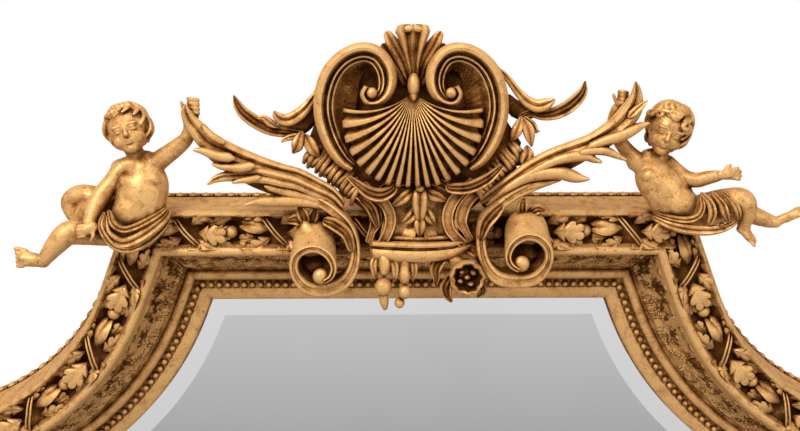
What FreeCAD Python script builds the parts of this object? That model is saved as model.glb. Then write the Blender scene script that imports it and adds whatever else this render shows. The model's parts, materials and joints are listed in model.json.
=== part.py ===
import FreeCAD, Part
import math
import os

# Carved and gilt wall mirror, millimetres. X is to the right, Z is up, and the wall is the
# plane Y = 0. The origin is the middle of the lower back rim, which lies against the wall.
# "Depth" is the distance out from the wall, so a depth of 20 lies at Y = -20.
# "Inset" is the distance inwards from the lip line, the sharp outer edge of the moulding.

Vector = FreeCAD.Vector

# ---- outline of the frame, on the lip line ----
TOP_HALF_WIDTH = 352.0       # from the middle to the corner where a shoulder starts
LIP_TOP_HEIGHT = 1785.0
SHOULDER_ANGLE = 69.0        # fall of the straight part of a shoulder, in degrees
SHOULDER_STRAIGHT = 110.0
SHOULDER_RADIUS = 287.0      # hollow curve of a shoulder
EAR_LENGTH = 20.0            # level piece of the lip between that curve and a stile

# ---- section of the moulding ----
LIP_DEPTH = 105.0
EGG_STAND_OUT = 18.0         # egg edge beyond the lip line
EGG_HEIGHT = 22.0
EGG_BACK_DEPTH = 12.0
RIM_STEP = 6.0               # the plain back rim lies this far inside the egg edge
LIP_HEIGHT = 7.0             # rounded edge of the lip, front to back
LIP_WIDTH = 4.0
COVE_BEND = 0.75             # how near the middle of the cove lies to the lip
HOLLOW_WIDTH = 40.0
HOLLOW_SINK = 14.0
FILLET_DEPTH = 99.0          # outer edge of the rounded band inside the hollow
FILLET_WIDTH = 11.0
FILLET_FALL = 6.0
FILLET_CROWN = 3.0
FRIEZE_WIDTH = 29.0
FRIEZE_FALL = 54.0
FRIEZE_BEND = (0.4, 0.45)    # middle of the frieze, as shares of its width and of its fall
HALF_ROUND_WIDTH = 15.0
HALF_ROUND_RISE = 7.0
BEAD_CHANNEL_WIDTH = 11.0
SIGHT_WIDTH = 16.0
SIGHT_FALL = 4.0
SEAM_INSET = 10.0            # glue line between the cornice and the carcass
RECESS = 14.0                # the carcass stands this far off the wall

# ---- mirror plate and back ----
GLASS_THICKNESS = 6.0
BACKBOARD_THICKNESS = 6.0
REBATE_LAP = 15.0            # the sight edge covers this much of the plate
GLASS_PLAY = 1.5
BEVEL_WIDTH = 24.0           # bevel that shows inside the sight edge
BEVEL_DROP = 1.4
BOARD_GAP = 2.0
BATTEN_WIDTH = 45.0
BATTEN_THICKNESS = 8.0
BATTEN_HEIGHTS = (330.0, 760.0, 1190.0)
BLOCK_LENGTH = 40.0

# ---- hangers ----
HANGER_HEIGHT = 1330.0
STRAP_WIDTH = 18.0
STRAP_LENGTH = 62.0
STRAP_THICKNESS = 2.0
RING_WIRE = 4.0
RING_WIDTH = 32.0            # between the centre lines of the two sides
RING_DROP = 27.0
RING_BEND = 0.75             # radius of the lower corners, as a share of half the width
PIN_CLEARANCE = 0.3
KNUCKLE_WALL = 2.0
SCREW_HEAD = 8.0
SCREW_HEAD_HEIGHT = 2.5
SCREW_SHANK = 3.5
SCREW_LENGTH = 16.0
SCREW_INSETS = (36.0, 52.0)  # screws below the pin of the ring

# ---- carving ----
CREST_FRONT = 116.0          # front of the crest backing
CREST_BACK = 92.0
BACKING_HEAD_HEIGHT = 1968.0
BACKING_FOOT_HEIGHT = 1738.0
BACKING_HEAD_WIDTH = 150.0
BACKING_WAIST_WIDTH = 84.0
CARTOUCHE_THICKNESS = 8.0
BRACKET_WIDTH = 24.0
BRACKET_THICKNESS = 4.0
BRACKET_DOWN = 48.0          # reach of the bracket below the lip line
BRACKET_UP = 50.0
BRACKET_SCREW_PITCH = 22.0
UNIT_PITCH = 125.0           # one leaf fan and one berry of the garland
BERRY_RADIUS = 8.0
LEAF_LENGTH = 38.0
LEAF_WIDTH = 22.0
LEAF_THICKNESS = 7.0
LEAF_FORM = ((0.0, 0.35), (0.35, 1.0), (0.7, 0.8), (0.95, 0.25))   # share of length, of width
VINE_WIDTH = 16.0
VINE_RISE = 6.0
VINE_EDGE = 1.5
CARVING_FLOOR = 1.0          # wood left under the berries

# ---- sizes that follow from those above ----
shoulder_angle = math.radians(SHOULDER_ANGLE)
top_way = Vector(1, 0, 0)
shoulder_way = Vector(math.cos(shoulder_angle), 0, -math.sin(shoulder_angle))
top_corner = Vector(TOP_HALF_WIDTH, 0, LIP_TOP_HEIGHT)


def inward(way):
    """The unit vector from the lip line towards the glass, for a run along way."""
    return Vector(way.z, 0, -way.x)


curve_start = top_corner + shoulder_way * SHOULDER_STRAIGHT
curve_centre = curve_start - inward(shoulder_way) * SHOULDER_RADIUS
curve_end = curve_centre + Vector(0, 0, -SHOULDER_RADIUS)
ear_corner = curve_end + Vector(EAR_LENGTH, 0, 0)
half_width = ear_corner.x
base_height = (EGG_STAND_OUT - RIM_STEP - SEAM_INSET) / 2   # puts the origin on the rim
base_corner = Vector(half_width, 0, base_height)

hollow_start = LIP_WIDTH
hollow_end = hollow_start + HOLLOW_WIDTH
fillet_end = hollow_end + FILLET_WIDTH
frieze_end = fillet_end + FRIEZE_WIDTH
round_end = frieze_end + HALF_ROUND_WIDTH
channel_end = round_end + BEAD_CHANNEL_WIDTH
sight_edge = channel_end + SIGHT_WIDTH
fillet_inner_depth = FILLET_DEPTH - FILLET_FALL
round_depth = fillet_inner_depth - FRIEZE_FALL
sight_depth = round_depth - SIGHT_FALL
board_front = RECESS + BACKBOARD_THICKNESS
glass_front = board_front + GLASS_THICKNESS
rebate_inset = sight_edge - REBATE_LAP
glass_inset = rebate_inset + GLASS_PLAY
hollow_radius = ((HOLLOW_WIDTH / 2) ** 2 + HOLLOW_SINK ** 2) / (2 * HOLLOW_SINK)
hollow_middle = (hollow_start + hollow_end) / 2
hollow_centre_depth = FILLET_DEPTH - HOLLOW_SINK + hollow_radius


def hollow_depth(inset):
    """Depth of the round hollow at an inset."""
    return hollow_centre_depth - math.sqrt(hollow_radius ** 2 - (inset - hollow_middle) ** 2)


# ---- section outlines: each is a list of (kind, point ...) with points as (inset, depth) ----
def line(point):
    return ("line", point)


def arc(middle, end):
    return ("arc", middle, end)


def cornice_section():
    rim = -EGG_STAND_OUT + RIM_STEP
    egg_front = EGG_BACK_DEPTH + EGG_HEIGHT
    cove_start = (rim, egg_front)
    cove_end = (-LIP_WIDTH / 2, LIP_DEPTH - LIP_HEIGHT)
    cove_middle = (cove_end[0] * COVE_BEND + rim * (1 - COVE_BEND), (egg_front + cove_end[1]) / 2)
    seam_depth = hollow_depth(SEAM_INSET)
    between = (hollow_start + SEAM_INSET) / 2
    return (rim, 0), [
        line((rim, EGG_BACK_DEPTH)),
        arc((-EGG_STAND_OUT, EGG_BACK_DEPTH + EGG_HEIGHT / 2), cove_start),
        arc(cove_middle, cove_end),
        arc((LIP_WIDTH / 4, LIP_DEPTH), (hollow_start, hollow_depth(hollow_start))),
        arc((between, hollow_depth(between)), (SEAM_INSET, seam_depth)),
        line((SEAM_INSET, 0)),
    ]


def carcass_section():
    crown = (hollow_end + FILLET_WIDTH / 2, FILLET_DEPTH - FILLET_FALL / 2 + FILLET_CROWN)
    return (SEAM_INSET, RECESS), [
        line((SEAM_INSET, hollow_depth(SEAM_INSET))),
        arc((hollow_middle, hollow_depth(hollow_middle)), (hollow_end, FILLET_DEPTH)),
        arc(crown, (fillet_end, fillet_inner_depth)),
        line((fillet_end, RECESS)),
    ]


def sight_section():
    across, up = FRIEZE_BEND
    frieze_middle = (fillet_end + FRIEZE_WIDTH * across, round_depth + FRIEZE_FALL * up)
    round_top = ((frieze_end + round_end) / 2, round_depth + HALF_ROUND_RISE)
    return (fillet_end, RECESS), [
        line((fillet_end, fillet_inner_depth)),
        arc(frieze_middle, (frieze_end, round_depth)),
        arc(round_top, (round_end, round_depth)),
        line((channel_end, round_depth)),
        line((sight_edge, sight_depth)),
        line((sight_edge, glass_front)),
        line((rebate_inset, glass_front)),
        line((rebate_inset, RECESS)),
    ]


def vine_section():
    left = hollow_middle - VINE_WIDTH / 2
    right = hollow_middle + VINE_WIDTH / 2
    bottom = hollow_depth(hollow_middle)
    edge = hollow_depth(left)
    return (left, edge), [
        line((left, edge + VINE_EDGE)),
        arc((hollow_middle, bottom + VINE_RISE), (right, edge + VINE_EDGE)),
        line((right, edge)),
        arc((hollow_middle, bottom), (left, edge)),
    ]


# ---- sweeping a section along the outline ----
def section_face(section, start, way):
    """The section as a face that stands on the lip line at start, square to way."""
    across = inward(way)

    def place(point):
        return start + across * point[0] + Vector(0, -point[1], 0)

    here, steps = section
    edges = []
    for step in steps:
        end = step[-1]
        if step[0] == "line":
            edges.append(Part.LineSegment(place(here), place(end)).toShape())
        else:
            edges.append(Part.Arc(place(here), place(step[1]), place(end)).toShape())
        here = end
    if here != section[0]:
        edges.append(Part.LineSegment(place(here), place(section[0])).toShape())
    return Part.Face(Part.Wire(edges))


def straight(section, start, end, spare_start=0.0, spare_end=0.0):
    way = (end - start).normalize()
    face = section_face(section, start - way * spare_start, way)
    return face.extrude(way * ((end - start).Length + spare_start + spare_end))


def prism(points, back, front):
    """A flat outline of (x, z) points, between two depths."""
    corners = [Vector(x, -back, z) for x, z in points]
    face = Part.Face(Part.makePolygon(corners + corners[:1]))
    return face.extrude(Vector(0, back - front, 0))


# ---- mitres: blocks that hold everything on one side of a joint ----
FAR = 2500.0                 # longer than the whole frame


def half_block(corner, along):
    """The block on the right-hand side of a line through corner that runs along."""
    start = corner - along * FAR
    end = corner + along * FAR
    deep = inward(along) * FAR
    return prism([(p.x, p.z) for p in (start, end, end + deep, start + deep)], -FAR, FAR)


def ear_mitre_point(inset):
    """Where the stile meets the shoulder at an inset: on the level ear, or on the curve."""
    x = half_width - inset
    sideways = curve_centre.x - x
    if sideways <= 0:
        return Vector(x, 0, curve_end.z - inset)
    radius = SHOULDER_RADIUS + inset
    return Vector(x, 0, curve_centre.z - math.sqrt(radius ** 2 - sideways ** 2))


def ear_mitre_block():
    """Everything on the stile's side of the joint at the ear."""
    outer = ear_mitre_point(-2 * EGG_STAND_OUT)
    turn = ear_mitre_point(EAR_LENGTH)
    middle = ear_mitre_point((EAR_LENGTH + sight_edge) / 2)
    inner = ear_mitre_point(sight_edge)
    further = inner + (inner - middle)
    behind = Vector(0, FAR, 0)
    edges = [
        Part.LineSegment(outer + behind, turn + behind).toShape(),
        Part.Arc(turn + behind, middle + behind, inner + behind).toShape(),
    ]
    below = Vector(further.x, 0, -FAR)
    corners = [inner, further, below, Vector(FAR, 0, -FAR), Vector(FAR, 0, outer.z), outer]
    for a, b in zip(corners, corners[1:]):
        edges.append(Part.LineSegment(a + behind, b + behind).toShape())
    return Part.Face(Part.Wire(edges)).extrude(behind * -2)


half_turn = shoulder_angle / 2
top_mitre = half_block(top_corner, Vector(math.sin(half_turn), 0, math.cos(half_turn)))
ear_mitre = ear_mitre_block()
base_mitre = half_block(base_corner, Vector(math.sqrt(0.5), 0, -math.sqrt(0.5)))


def mirrored(shape):
    return shape.mirror(Vector(0, 0, 0), Vector(1, 0, 0))


def top_length(section):
    spare = sight_edge
    whole = straight(section, Vector(-TOP_HALF_WIDTH, 0, LIP_TOP_HEIGHT), top_corner, spare, spare)
    return whole.cut(top_mitre).cut(mirrored(top_mitre))


def shoulder_length(section):
    fall = straight(section, top_corner, curve_start, sight_edge)
    face = section_face(section, curve_start, shoulder_way)
    turn = face.revolve(curve_centre, Vector(0, -1, 0), SHOULDER_ANGLE)
    ear = straight(section, curve_end, ear_corner, 0.0, sight_edge)
    return fall.fuse([turn, ear]).common(top_mitre).cut(ear_mitre)


def stile_length(section):
    spare = sight_edge + EGG_STAND_OUT
    whole = straight(section, ear_corner, base_corner, spare, spare)
    return whole.common(ear_mitre).cut(base_mitre)


def base_length(section):
    spare = sight_edge
    left = Vector(-half_width, 0, base_height)
    whole = straight(section, base_corner, left, spare, spare)
    return whole.common(base_mitre).common(mirrored(base_mitre))


def frame_lengths(section, name):
    """The six mitred lengths of one moulding, as {node: shape}."""
    shoulder = shoulder_length(section)
    stile = stile_length(section)
    return {
        name + "_top": top_length(section),
        name + "_shoulder_right": shoulder,
        name + "_shoulder_left": mirrored(shoulder),
        name + "_stile_right": stile,
        name + "_stile_left": mirrored(stile),
        name + "_base": base_length(section),
    }


# ---- flat outlines parallel to the lip line ----
def outline(inset, depth):
    """A closed wire round the frame at an inset, at one depth."""
    mitre = Vector(-math.tan(half_turn), 0, -1)
    corner = top_corner + mitre * inset
    start = curve_start + inward(shoulder_way) * inset
    ear = ear_mitre_point(inset)
    radius = SHOULDER_RADIUS + inset
    between = (math.atan2(start.z - curve_centre.z, start.x - curve_centre.x)
               + math.atan2(ear.z - curve_centre.z, ear.x - curve_centre.x)) / 2
    middle = curve_centre + Vector(math.cos(between), 0, math.sin(between)) * radius
    base = Vector(half_width - inset, 0, base_height + inset)
    out = Vector(0, -depth, 0)

    def flip(point):
        return Vector(-point.x, point.y, point.z)

    def run(a, b):
        return Part.LineSegment(a + out, b + out).toShape()

    edges = [
        run(flip(corner), corner),
        run(corner, start),
        Part.Arc(start + out, middle + out, ear + out).toShape(),
        run(ear, base),
        run(base, flip(base)),
        run(flip(base), flip(ear)),
        Part.Arc(flip(ear) + out, flip(middle) + out, flip(start) + out).toShape(),
        run(flip(start), flip(corner)),
    ]
    return Part.Wire(edges)


def mirror_glass():
    plate = Part.Face(outline(glass_inset, board_front))
    plate = plate.extrude(Vector(0, BEVEL_DROP - GLASS_THICKNESS, 0))
    edge = outline(glass_inset, glass_front - BEVEL_DROP)
    flat = outline(sight_edge + BEVEL_WIDTH, glass_front)
    return plate.fuse(Part.makeLoft([edge, flat], True, True))


def backboards():
    """Two upright boards in the rebate, flush with the back of the carcass."""
    board = Part.Face(outline(glass_inset, RECESS)).extrude(Vector(0, -BACKBOARD_THICKNESS, 0))
    half = BOARD_GAP / 2
    slot = prism([(-half, -FAR), (half, -FAR), (half, FAR), (-half, FAR)], -FAR, FAR)
    halves = board.cut(slot).Solids
    halves.sort(key=lambda solid: solid.CenterOfMass.x)
    return halves


def batten(height):
    end = half_width - SEAM_INSET - FILLET_WIDTH
    low = height - BATTEN_WIDTH / 2
    high = height + BATTEN_WIDTH / 2
    return prism([(-end, low), (end, low), (end, high), (-end, high)], RECESS - BATTEN_THICKNESS, RECESS)


def screw(x, z, seat, length):
    """A round-head screw driven from the back: its head lies behind the seat depth."""
    way = Vector(0, -1, 0)
    top = Vector(x, SCREW_HEAD_HEIGHT - seat, z)
    head = Part.makeCylinder(SCREW_HEAD / 2, SCREW_HEAD_HEIGHT, top, way)
    shank = Part.makeCylinder(SCREW_SHANK / 2, length, Vector(x, -seat, z), way)
    return head.fuse(shank)


# ---- hangers: a screwed strap whose end is rolled round the straight side of a ring ----
ring_radius = RING_WIRE / 2
knuckle_bore = ring_radius + PIN_CLEARANCE
knuckle_radius = knuckle_bore + KNUCKLE_WALL
strap_back = RECESS - STRAP_THICKNESS
pin_depth = RECESS - knuckle_radius
hanger_x = half_width - (SEAM_INSET + fillet_end) / 2


def hanger_strap(x):
    half = STRAP_WIDTH / 2
    low = HANGER_HEIGHT - STRAP_LENGTH
    sheet = prism([(x - half, low), (x + half, low), (x + half, HANGER_HEIGHT), (x - half, HANGER_HEIGHT)],
                  strap_back, RECESS)
    start = Vector(x - half, -pin_depth, HANGER_HEIGHT)
    knuckle = Part.makeCylinder(knuckle_radius, STRAP_WIDTH, start, Vector(1, 0, 0))
    bore = Part.makeCylinder(knuckle_bore, STRAP_WIDTH, start, Vector(1, 0, 0))
    return sheet.fuse(knuckle).cut(bore)


def hanger_ring(x):
    """A ring with one straight side as its pin, which hangs down at rest."""
    half = RING_WIDTH / 2
    top = HANGER_HEIGHT
    bend = half * RING_BEND
    low = top - RING_DROP + bend

    def at(px, pz):
        return Vector(x + px, -pin_depth, pz)

    slant = bend * math.sqrt(0.5)
    right_middle = at(half - bend + slant, low - slant)
    left_middle = at(bend - half - slant, low - slant)
    path = Part.Wire([
        Part.LineSegment(at(-half, top), at(half, top)).toShape(),
        Part.LineSegment(at(half, top), at(half, low)).toShape(),
        Part.Arc(at(half, low), right_middle, at(half - bend, low - bend)).toShape(),
        Part.LineSegment(at(half - bend, low - bend), at(bend - half, low - bend)).toShape(),
        Part.Arc(at(bend - half, low - bend), left_middle, at(-half, low)).toShape(),
        Part.LineSegment(at(-half, low), at(-half, top)).toShape(),
    ])
    ring = None
    for edge in path.Edges:
        first = edge.valueAt(edge.FirstParameter)
        way = edge.tangentAt(edge.FirstParameter)
        circle = Part.Wire(Part.makeCircle(ring_radius, first, way))
        tube = Part.Wire(edge).makePipeShell([circle], True, True)
        tube = tube.fuse(Part.makeSphere(ring_radius, first))
        ring = tube if ring is None else ring.fuse(tube)
    return ring


def hanger_screws(x):
    return [screw(x, HANGER_HEIGHT - inset, strap_back, SCREW_LENGTH) for inset in SCREW_INSETS]


# ---- carving: each strand is a run of oval sections along a spine ----
TIP_SHARE = 0.35             # size of the closing section of a strand, against the last one
TIP_REACH = 0.7


def strand(rows, thin=1.0):
    """A closed carved strand. Rows are (x, depth, z, half width); thin is thickness to width."""
    places = [Vector(x, -depth, z) for x, depth, z, _ in rows]
    sizes = [row[3] for row in rows]
    ways = []
    for index in range(len(places)):
        before = places[max(index - 1, 0)]
        after = places[min(index + 1, len(places) - 1)]
        ways.append((after - before).normalize())
    places.insert(0, places[0] - ways[0] * sizes[0] * TIP_REACH)
    places.append(places[-1] + ways[-1] * sizes[-1] * TIP_REACH)
    ways = [ways[0]] + ways + [ways[-1]]
    sizes = [sizes[0] * TIP_SHARE] + sizes + [sizes[-1] * TIP_SHARE]
    wires = [side_ring(p, w, s, s * thin) for p, w, s in zip(places, ways, sizes)]
    return Part.makeLoft(wires, True, True)


SIDES = 8                    # facets round a strand


def side_ring(centre, way, width, thickness):
    side = way.cross(Vector(0, 1, 0)).normalize()
    up = side.cross(way).normalize()
    points = []
    for step in range(SIDES):
        turn = 2 * math.pi * (step + 0.5) / SIDES
        points.append(centre + side * width * math.cos(turn) + up * thickness * math.sin(turn))
    return Part.makePolygon(points + points[:1])


def joined(shapes):
    whole = shapes[0]
    return whole.fuse(shapes[1:]) if len(shapes) > 1 else whole


def flipped(rows):
    return [(-x, depth, z, size) for x, depth, z, size in rows]


# scrolls of the crest: from the lower end round to the eye
C_SCROLL = [
    (88, 126, 1842, 7), (108, 130, 1868, 9), (117, 132, 1903, 10), (110, 132, 1943, 10),
    (92, 131, 1968, 10), (65, 130, 1981, 10), (38, 130, 1966, 9), (27, 130, 1940, 8),
    (37, 131, 1921, 7), (54, 132, 1925, 7), (52, 133, 1940, 7),
]
SCROLL_THICKNESS = 1.6       # front to back, against its width
# long leaf sprays that rise to the hands of the figures
SPRAY_LEFT = [
    [(-50, 118, 1752, 8), (-80, 122, 1783, 10), (-119, 132, 1822, 13), (-171, 142, 1845, 12),
     (-220, 149, 1866, 10), (-247, 152, 1888, 8), (-262, 151, 1915, 5)],
    [(-119, 131, 1813, 9), (-173, 142, 1834, 9), (-238, 148, 1829, 4)],
    [(-84, 122, 1772, 7), (-135, 130, 1802, 11), (-197, 136, 1801, 4)],
]
SPRAY_RIGHT = [
    [(66, 118, 1752, 8), (86, 122, 1783, 10), (128, 133, 1835, 12), (187, 143, 1872, 12),
     (240, 150, 1899, 11), (258, 150, 1920, 9), (265, 149, 1942, 4)],
    [(109, 130, 1807, 9), (165, 139, 1835, 9), (211, 143, 1831, 4)],
    [(179, 143, 1858, 7), (230, 147, 1863, 7), (253, 148, 1857, 4)],
    [(228, 149, 1881, 8), (276, 150, 1898, 4)],
]
TENDRIL = [
    (118, 114, 1932, 8), (136, 114, 1914, 11), (163, 117, 1901, 11), (192, 120, 1914, 9),
    (211, 121, 1940, 4),
]
# scroll feet: from the band on the cartouche round to the horn of the roll
VOLUTE = [
    (96, 118, 1783, 7), (80, 121, 1763, 9), (80, 124, 1738, 10), (92, 127, 1716, 12),
    (116, 130, 1706, 13), (142, 132, 1712, 12), (151, 134, 1731, 11), (138, 136, 1749, 9),
    (118, 138, 1743, 9), (118, 144, 1727, 10),
]
VOLUTE_LIFT = 14.0           # the right-hand scroll foot stands higher
VOLUTE_SHIFT = 11.0
VOLUTE_THICKNESS = 1.1       # against its width
PEG_WIDTH = 0.7              # peg behind a scroll foot, against the width of the foot
PEG_REACH = FILLET_DEPTH / 4
FINIAL = [
    (0, 122, 1925, 7), (0, 122, 1962, 9), (-1, 124, 1988, 14), (-1, 126, 2004, 18),
    (-1, 126, 2013, 12),
]
FINIAL_LEAF = [(11, 121, 1945, 5), (18, 120, 1970, 6), (33, 120, 2001, 5)]
HUSKS_LEFT = [
    [(-136, 116, 1893, 5), (-141, 120, 1878, 9), (-145, 118, 1862, 4)],
    [(-132, 116, 1889, 5), (-122, 120, 1870, 9), (-116, 120, 1852, 4)],
]
HUSKS_RIGHT = [
    [(136, 115, 1896, 5), (128, 119, 1887, 8), (122, 118, 1876, 4)],
    [(141, 117, 1901, 5), (146, 121, 1882, 8), (147, 123, 1861, 6), (141, 126, 1841, 4)],
]
SHELF = [(-52, 123, 1745, 6), (-15, 128, 1742, 8), (20, 129, 1742, 8), (73, 123, 1746, 6)]
BELLFLOWER = [(10, 127, 1816, 6), (10, 129, 1795, 8), (10, 128, 1768, 6), (10, 127, 1756, 3)]
BELL_PETALS = [
    [(6, 127, 1808, 4), (-8, 127, 1806, 5), (-19, 126, 1797, 3)],
    [(14, 127, 1808, 4), (28, 127, 1808, 5), (41, 126, 1804, 3)],
]
BUDS = [
    [(-36, 125, 1742, 6), (-32, 128, 1712, 10), (-32, 129, 1690, 8), (-32, 128, 1667, 4)],
    [(-9, 125, 1742, 6), (-9, 128, 1712, 9), (-11, 128, 1692, 8), (-15, 128, 1673, 4)],
]
ROSE_STALKS = [
    [(47, 122, 1744, 6), (55, 124, 1728, 9), (62, 122, 1708, 12)],
    [(45, 120, 1738, 5), (32, 123, 1712, 7), (34, 124, 1692, 6), (48, 125, 1672, 4)],
]
ROSE_PLACE = (62, 134, 1707)
ROSE_RADIUS = 19.0
SIDE_SCROLLS = [
    [(-60, 114, 1812, 5), (-38, 120, 1803, 6), (-29, 123, 1776, 6), (-36, 124, 1748, 6)],
    [(64, 114, 1812, 5), (50, 120, 1800, 6), (49, 123, 1772, 6), (62, 124, 1750, 6)],
]
SHELL_HINGE = (0, 128, 1938)
SHELL_RIBS = 11
SHELL_SPREAD = 128.0         # angle between the outer ribs, in degrees
SHELL_LENGTH = 108.0
SHELL_RIB = 7.5
SHELL_SIDE_SHARE = 0.72      # length of the outer ribs against the middle one
SHELL_THICKNESS = 1.6        # of a rib, against its width
SHELL_FORM = ((0.08, -4, 0.4), (0.55, 4, 0.85), (0.93, -2, 1.0))   # share of length, rise, width
CARTOUCHE = [
    (-52, 1816), (-38, 1786), (-36, 1762), (-50, 1738),
    (72, 1738), (56, 1762), (57, 1786), (72, 1816),
]

# ---- figures: (x, depth, z, half width) along each limb ----
LEFT_FIGURE = {
    "torso": [(-338, 112, 1768, 27), (-335, 118, 1795, 30), (-336, 115, 1826, 27), (-338, 112, 1848, 19)],
    "neck": [(-338, 112, 1845, 12), (-342, 115, 1872, 11)],
    "raised_arm": [(-316, 111, 1846, 14), (-288, 121, 1864, 11), (-270, 132, 1884, 8),
                   (-265, 139, 1903, 10), (-257, 142, 1924, 5)],
    "low_arm": [(-362, 112, 1841, 13), (-390, 119, 1800, 10), (-380, 138, 1777, 8), (-384, 146, 1766, 7)],
    "front_leg": [(-342, 122, 1762, 23), (-405, 152, 1776, 18), (-436, 156, 1745, 12),
                  (-439, 154, 1732, 11)],
    "front_foot": [(-438, 156, 1732, 10), (-467, 163, 1739, 6)],
    "back_leg": [(-350, 98, 1776, 21), (-429, 88, 1805, 15), (-412, 94, 1768, 11)],
}
RIGHT_FIGURE = {
    "torso": [(350, 112, 1776, 27), (326, 119, 1800, 30), (304, 116, 1828, 27), (302, 113, 1846, 19)],
    "neck": [(303, 113, 1842, 12), (311, 117, 1872, 11)],
    "raised_arm": [(277, 112, 1844, 14), (254, 116, 1874, 11), (244, 127, 1912, 8),
                   (248, 131, 1927, 10), (252, 133, 1940, 5)],
    "low_arm": [(322, 114, 1845, 13), (342, 122, 1824, 10), (366, 148, 1835, 8), (386, 157, 1841, 6)],
    "front_leg": [(355, 124, 1780, 23), (396, 158, 1812, 17), (397, 150, 1782, 12), (401, 154, 1772, 8)],
    "back_leg": [(372, 104, 1774, 20), (408, 118, 1788, 15), (448, 124, 1778, 10)],
    "back_foot": [(446, 124, 1778, 9), (470, 128, 1785, 6)],
}
HEAD_RADIUS = 26.0
HEAD_STRETCH = 6.0           # the skull is this much longer than it is wide
CHIN_SIZE = 0.8              # against the skull
CHIN_DROP = 1.4              # against the stretch
HEADS = {"left": (-344, 118, 1890), "right": (315, 121, 1892)}
DRAPERY_LEFT = [(-320, 122, 1756, 18), (-345, 128, 1752, 22), (-380, 134, 1756, 19), (-402, 138, 1758, 12)]
DRAPERY_RIGHT = [(322, 122, 1764, 17), (346, 130, 1760, 21), (372, 132, 1760, 17), (392, 128, 1760, 10)]


def shell():
    x, depth, z = SHELL_HINGE
    ribs = []
    for index in range(SHELL_RIBS):
        share = index / (SHELL_RIBS - 1) * 2 - 1
        turn = math.radians(SHELL_SPREAD / 2 * share)
        length = SHELL_LENGTH * (1 - (1 - SHELL_SIDE_SHARE) * share ** 2)
        side = math.sin(turn)
        down = math.cos(turn)
        rows = []
        for out, rise, width in SHELL_FORM:
            reach = length * out
            rows.append((x + side * reach, depth + rise, z - down * reach, SHELL_RIB * width))
        ribs.append(strand(rows, SHELL_THICKNESS))
    return joined(ribs)


def head(side):
    x, depth, z = HEADS[side]
    centre = Vector(x, -depth, z)
    skull = Part.makeSphere(HEAD_RADIUS, centre)
    drop = Vector(0, HEAD_STRETCH / 2, HEAD_STRETCH * CHIN_DROP)
    chin = Part.makeSphere(HEAD_RADIUS * CHIN_SIZE, centre - drop)
    return skull.fuse(chin)


def figure(limbs):
    return joined([strand(rows) for rows in limbs.values()])


def crest_backing():
    head_half = BACKING_HEAD_WIDTH / 2
    waist = BACKING_WAIST_WIDTH / 2
    shoulder = LIP_TOP_HEIGHT + LIP_DEPTH / 2
    points = [
        (-waist, BACKING_FOOT_HEIGHT), (waist, BACKING_FOOT_HEIGHT), (waist, shoulder),
        (head_half, shoulder + waist), (head_half, BACKING_HEAD_HEIGHT - waist),
        (waist, BACKING_HEAD_HEIGHT), (-waist, BACKING_HEAD_HEIGHT),
        (-head_half, BACKING_HEAD_HEIGHT - waist), (-head_half, shoulder + waist),
        (-waist, shoulder),
    ]
    return prism(points, CREST_BACK, CREST_FRONT)


# ---- garland: a vine in the hollow, with a berry and two leaves in each unit ----
hollow_floor = hollow_depth(hollow_middle)


def unit_places():
    """Middle of each unit on the floor of the hollow, right half and level lengths."""
    places = {"top": [], "shoulder_right": [], "stile_right": [], "base": []}
    corner_loss = hollow_middle * math.tan(half_turn)
    top_length_here = 2 * (TOP_HALF_WIDTH - corner_loss)
    count = math.ceil(top_length_here / UNIT_PITCH)
    for index in range(count):
        x = ((index + 0.5) / count - 0.5) * top_length_here
        places["top"].append((Vector(x, 0, LIP_TOP_HEIGHT - hollow_middle), top_way))

    fall_length = SHOULDER_STRAIGHT - corner_loss
    radius = SHOULDER_RADIUS + hollow_middle
    shoulder_run = fall_length + radius * shoulder_angle
    count = math.ceil(shoulder_run / UNIT_PITCH)
    for index in range(count):
        run = (index + 0.5) / count * shoulder_run
        if run < fall_length:
            start = curve_start + inward(shoulder_way) * hollow_middle
            places["shoulder_right"].append((start - shoulder_way * (fall_length - run), shoulder_way))
        else:
            fall = shoulder_angle - (run - fall_length) / radius
            way = Vector(math.cos(fall), 0, -math.sin(fall))
            places["shoulder_right"].append((curve_centre + inward(way) * radius, way))

    stile_run = ear_corner.z - base_height - 2 * hollow_middle
    count = math.ceil(stile_run / UNIT_PITCH)
    for index in range(count):
        z = ear_corner.z - hollow_middle - (index + 0.5) / count * stile_run
        places["stile_right"].append((Vector(half_width - hollow_middle, 0, z), Vector(0, 0, -1)))

    base_run = 2 * (half_width - hollow_middle)
    count = math.ceil(base_run / UNIT_PITCH)
    for index in range(count):
        x = (0.5 - (index + 0.5) / count) * base_run
        places["base"].append((Vector(x, 0, base_height + hollow_middle), Vector(-1, 0, 0)))
    return places


def unit(centre, way):
    """One berry and a pair of pointed leaves."""
    berry_depth = hollow_floor + CARVING_FLOOR + BERRY_RADIUS
    parts = [Part.makeSphere(BERRY_RADIUS, centre + Vector(0, -berry_depth, 0))]
    leaf_depth = hollow_floor + VINE_RISE
    for side in (-1, 1):
        rows = []
        for share, width_share in LEAF_FORM:
            place = centre + way * side * (BERRY_RADIUS / 2 + LEAF_LENGTH * share)
            rows.append((place.x, leaf_depth, place.z, LEAF_WIDTH / 2 * width_share))
        parts.append(strand(rows, LEAF_THICKNESS / LEAF_WIDTH))
    return parts


def garlands():
    vines = frame_lengths(vine_section(), "garland")
    for place, units in unit_places().items():
        carved = [part for centre, way in units for part in unit(centre, way)]
        vines["garland_" + place] = vines["garland_" + place].fuse(carved)
    for place in ("shoulder", "stile"):
        vines["garland_" + place + "_left"] = mirrored(vines["garland_" + place + "_right"])
    return vines


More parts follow.
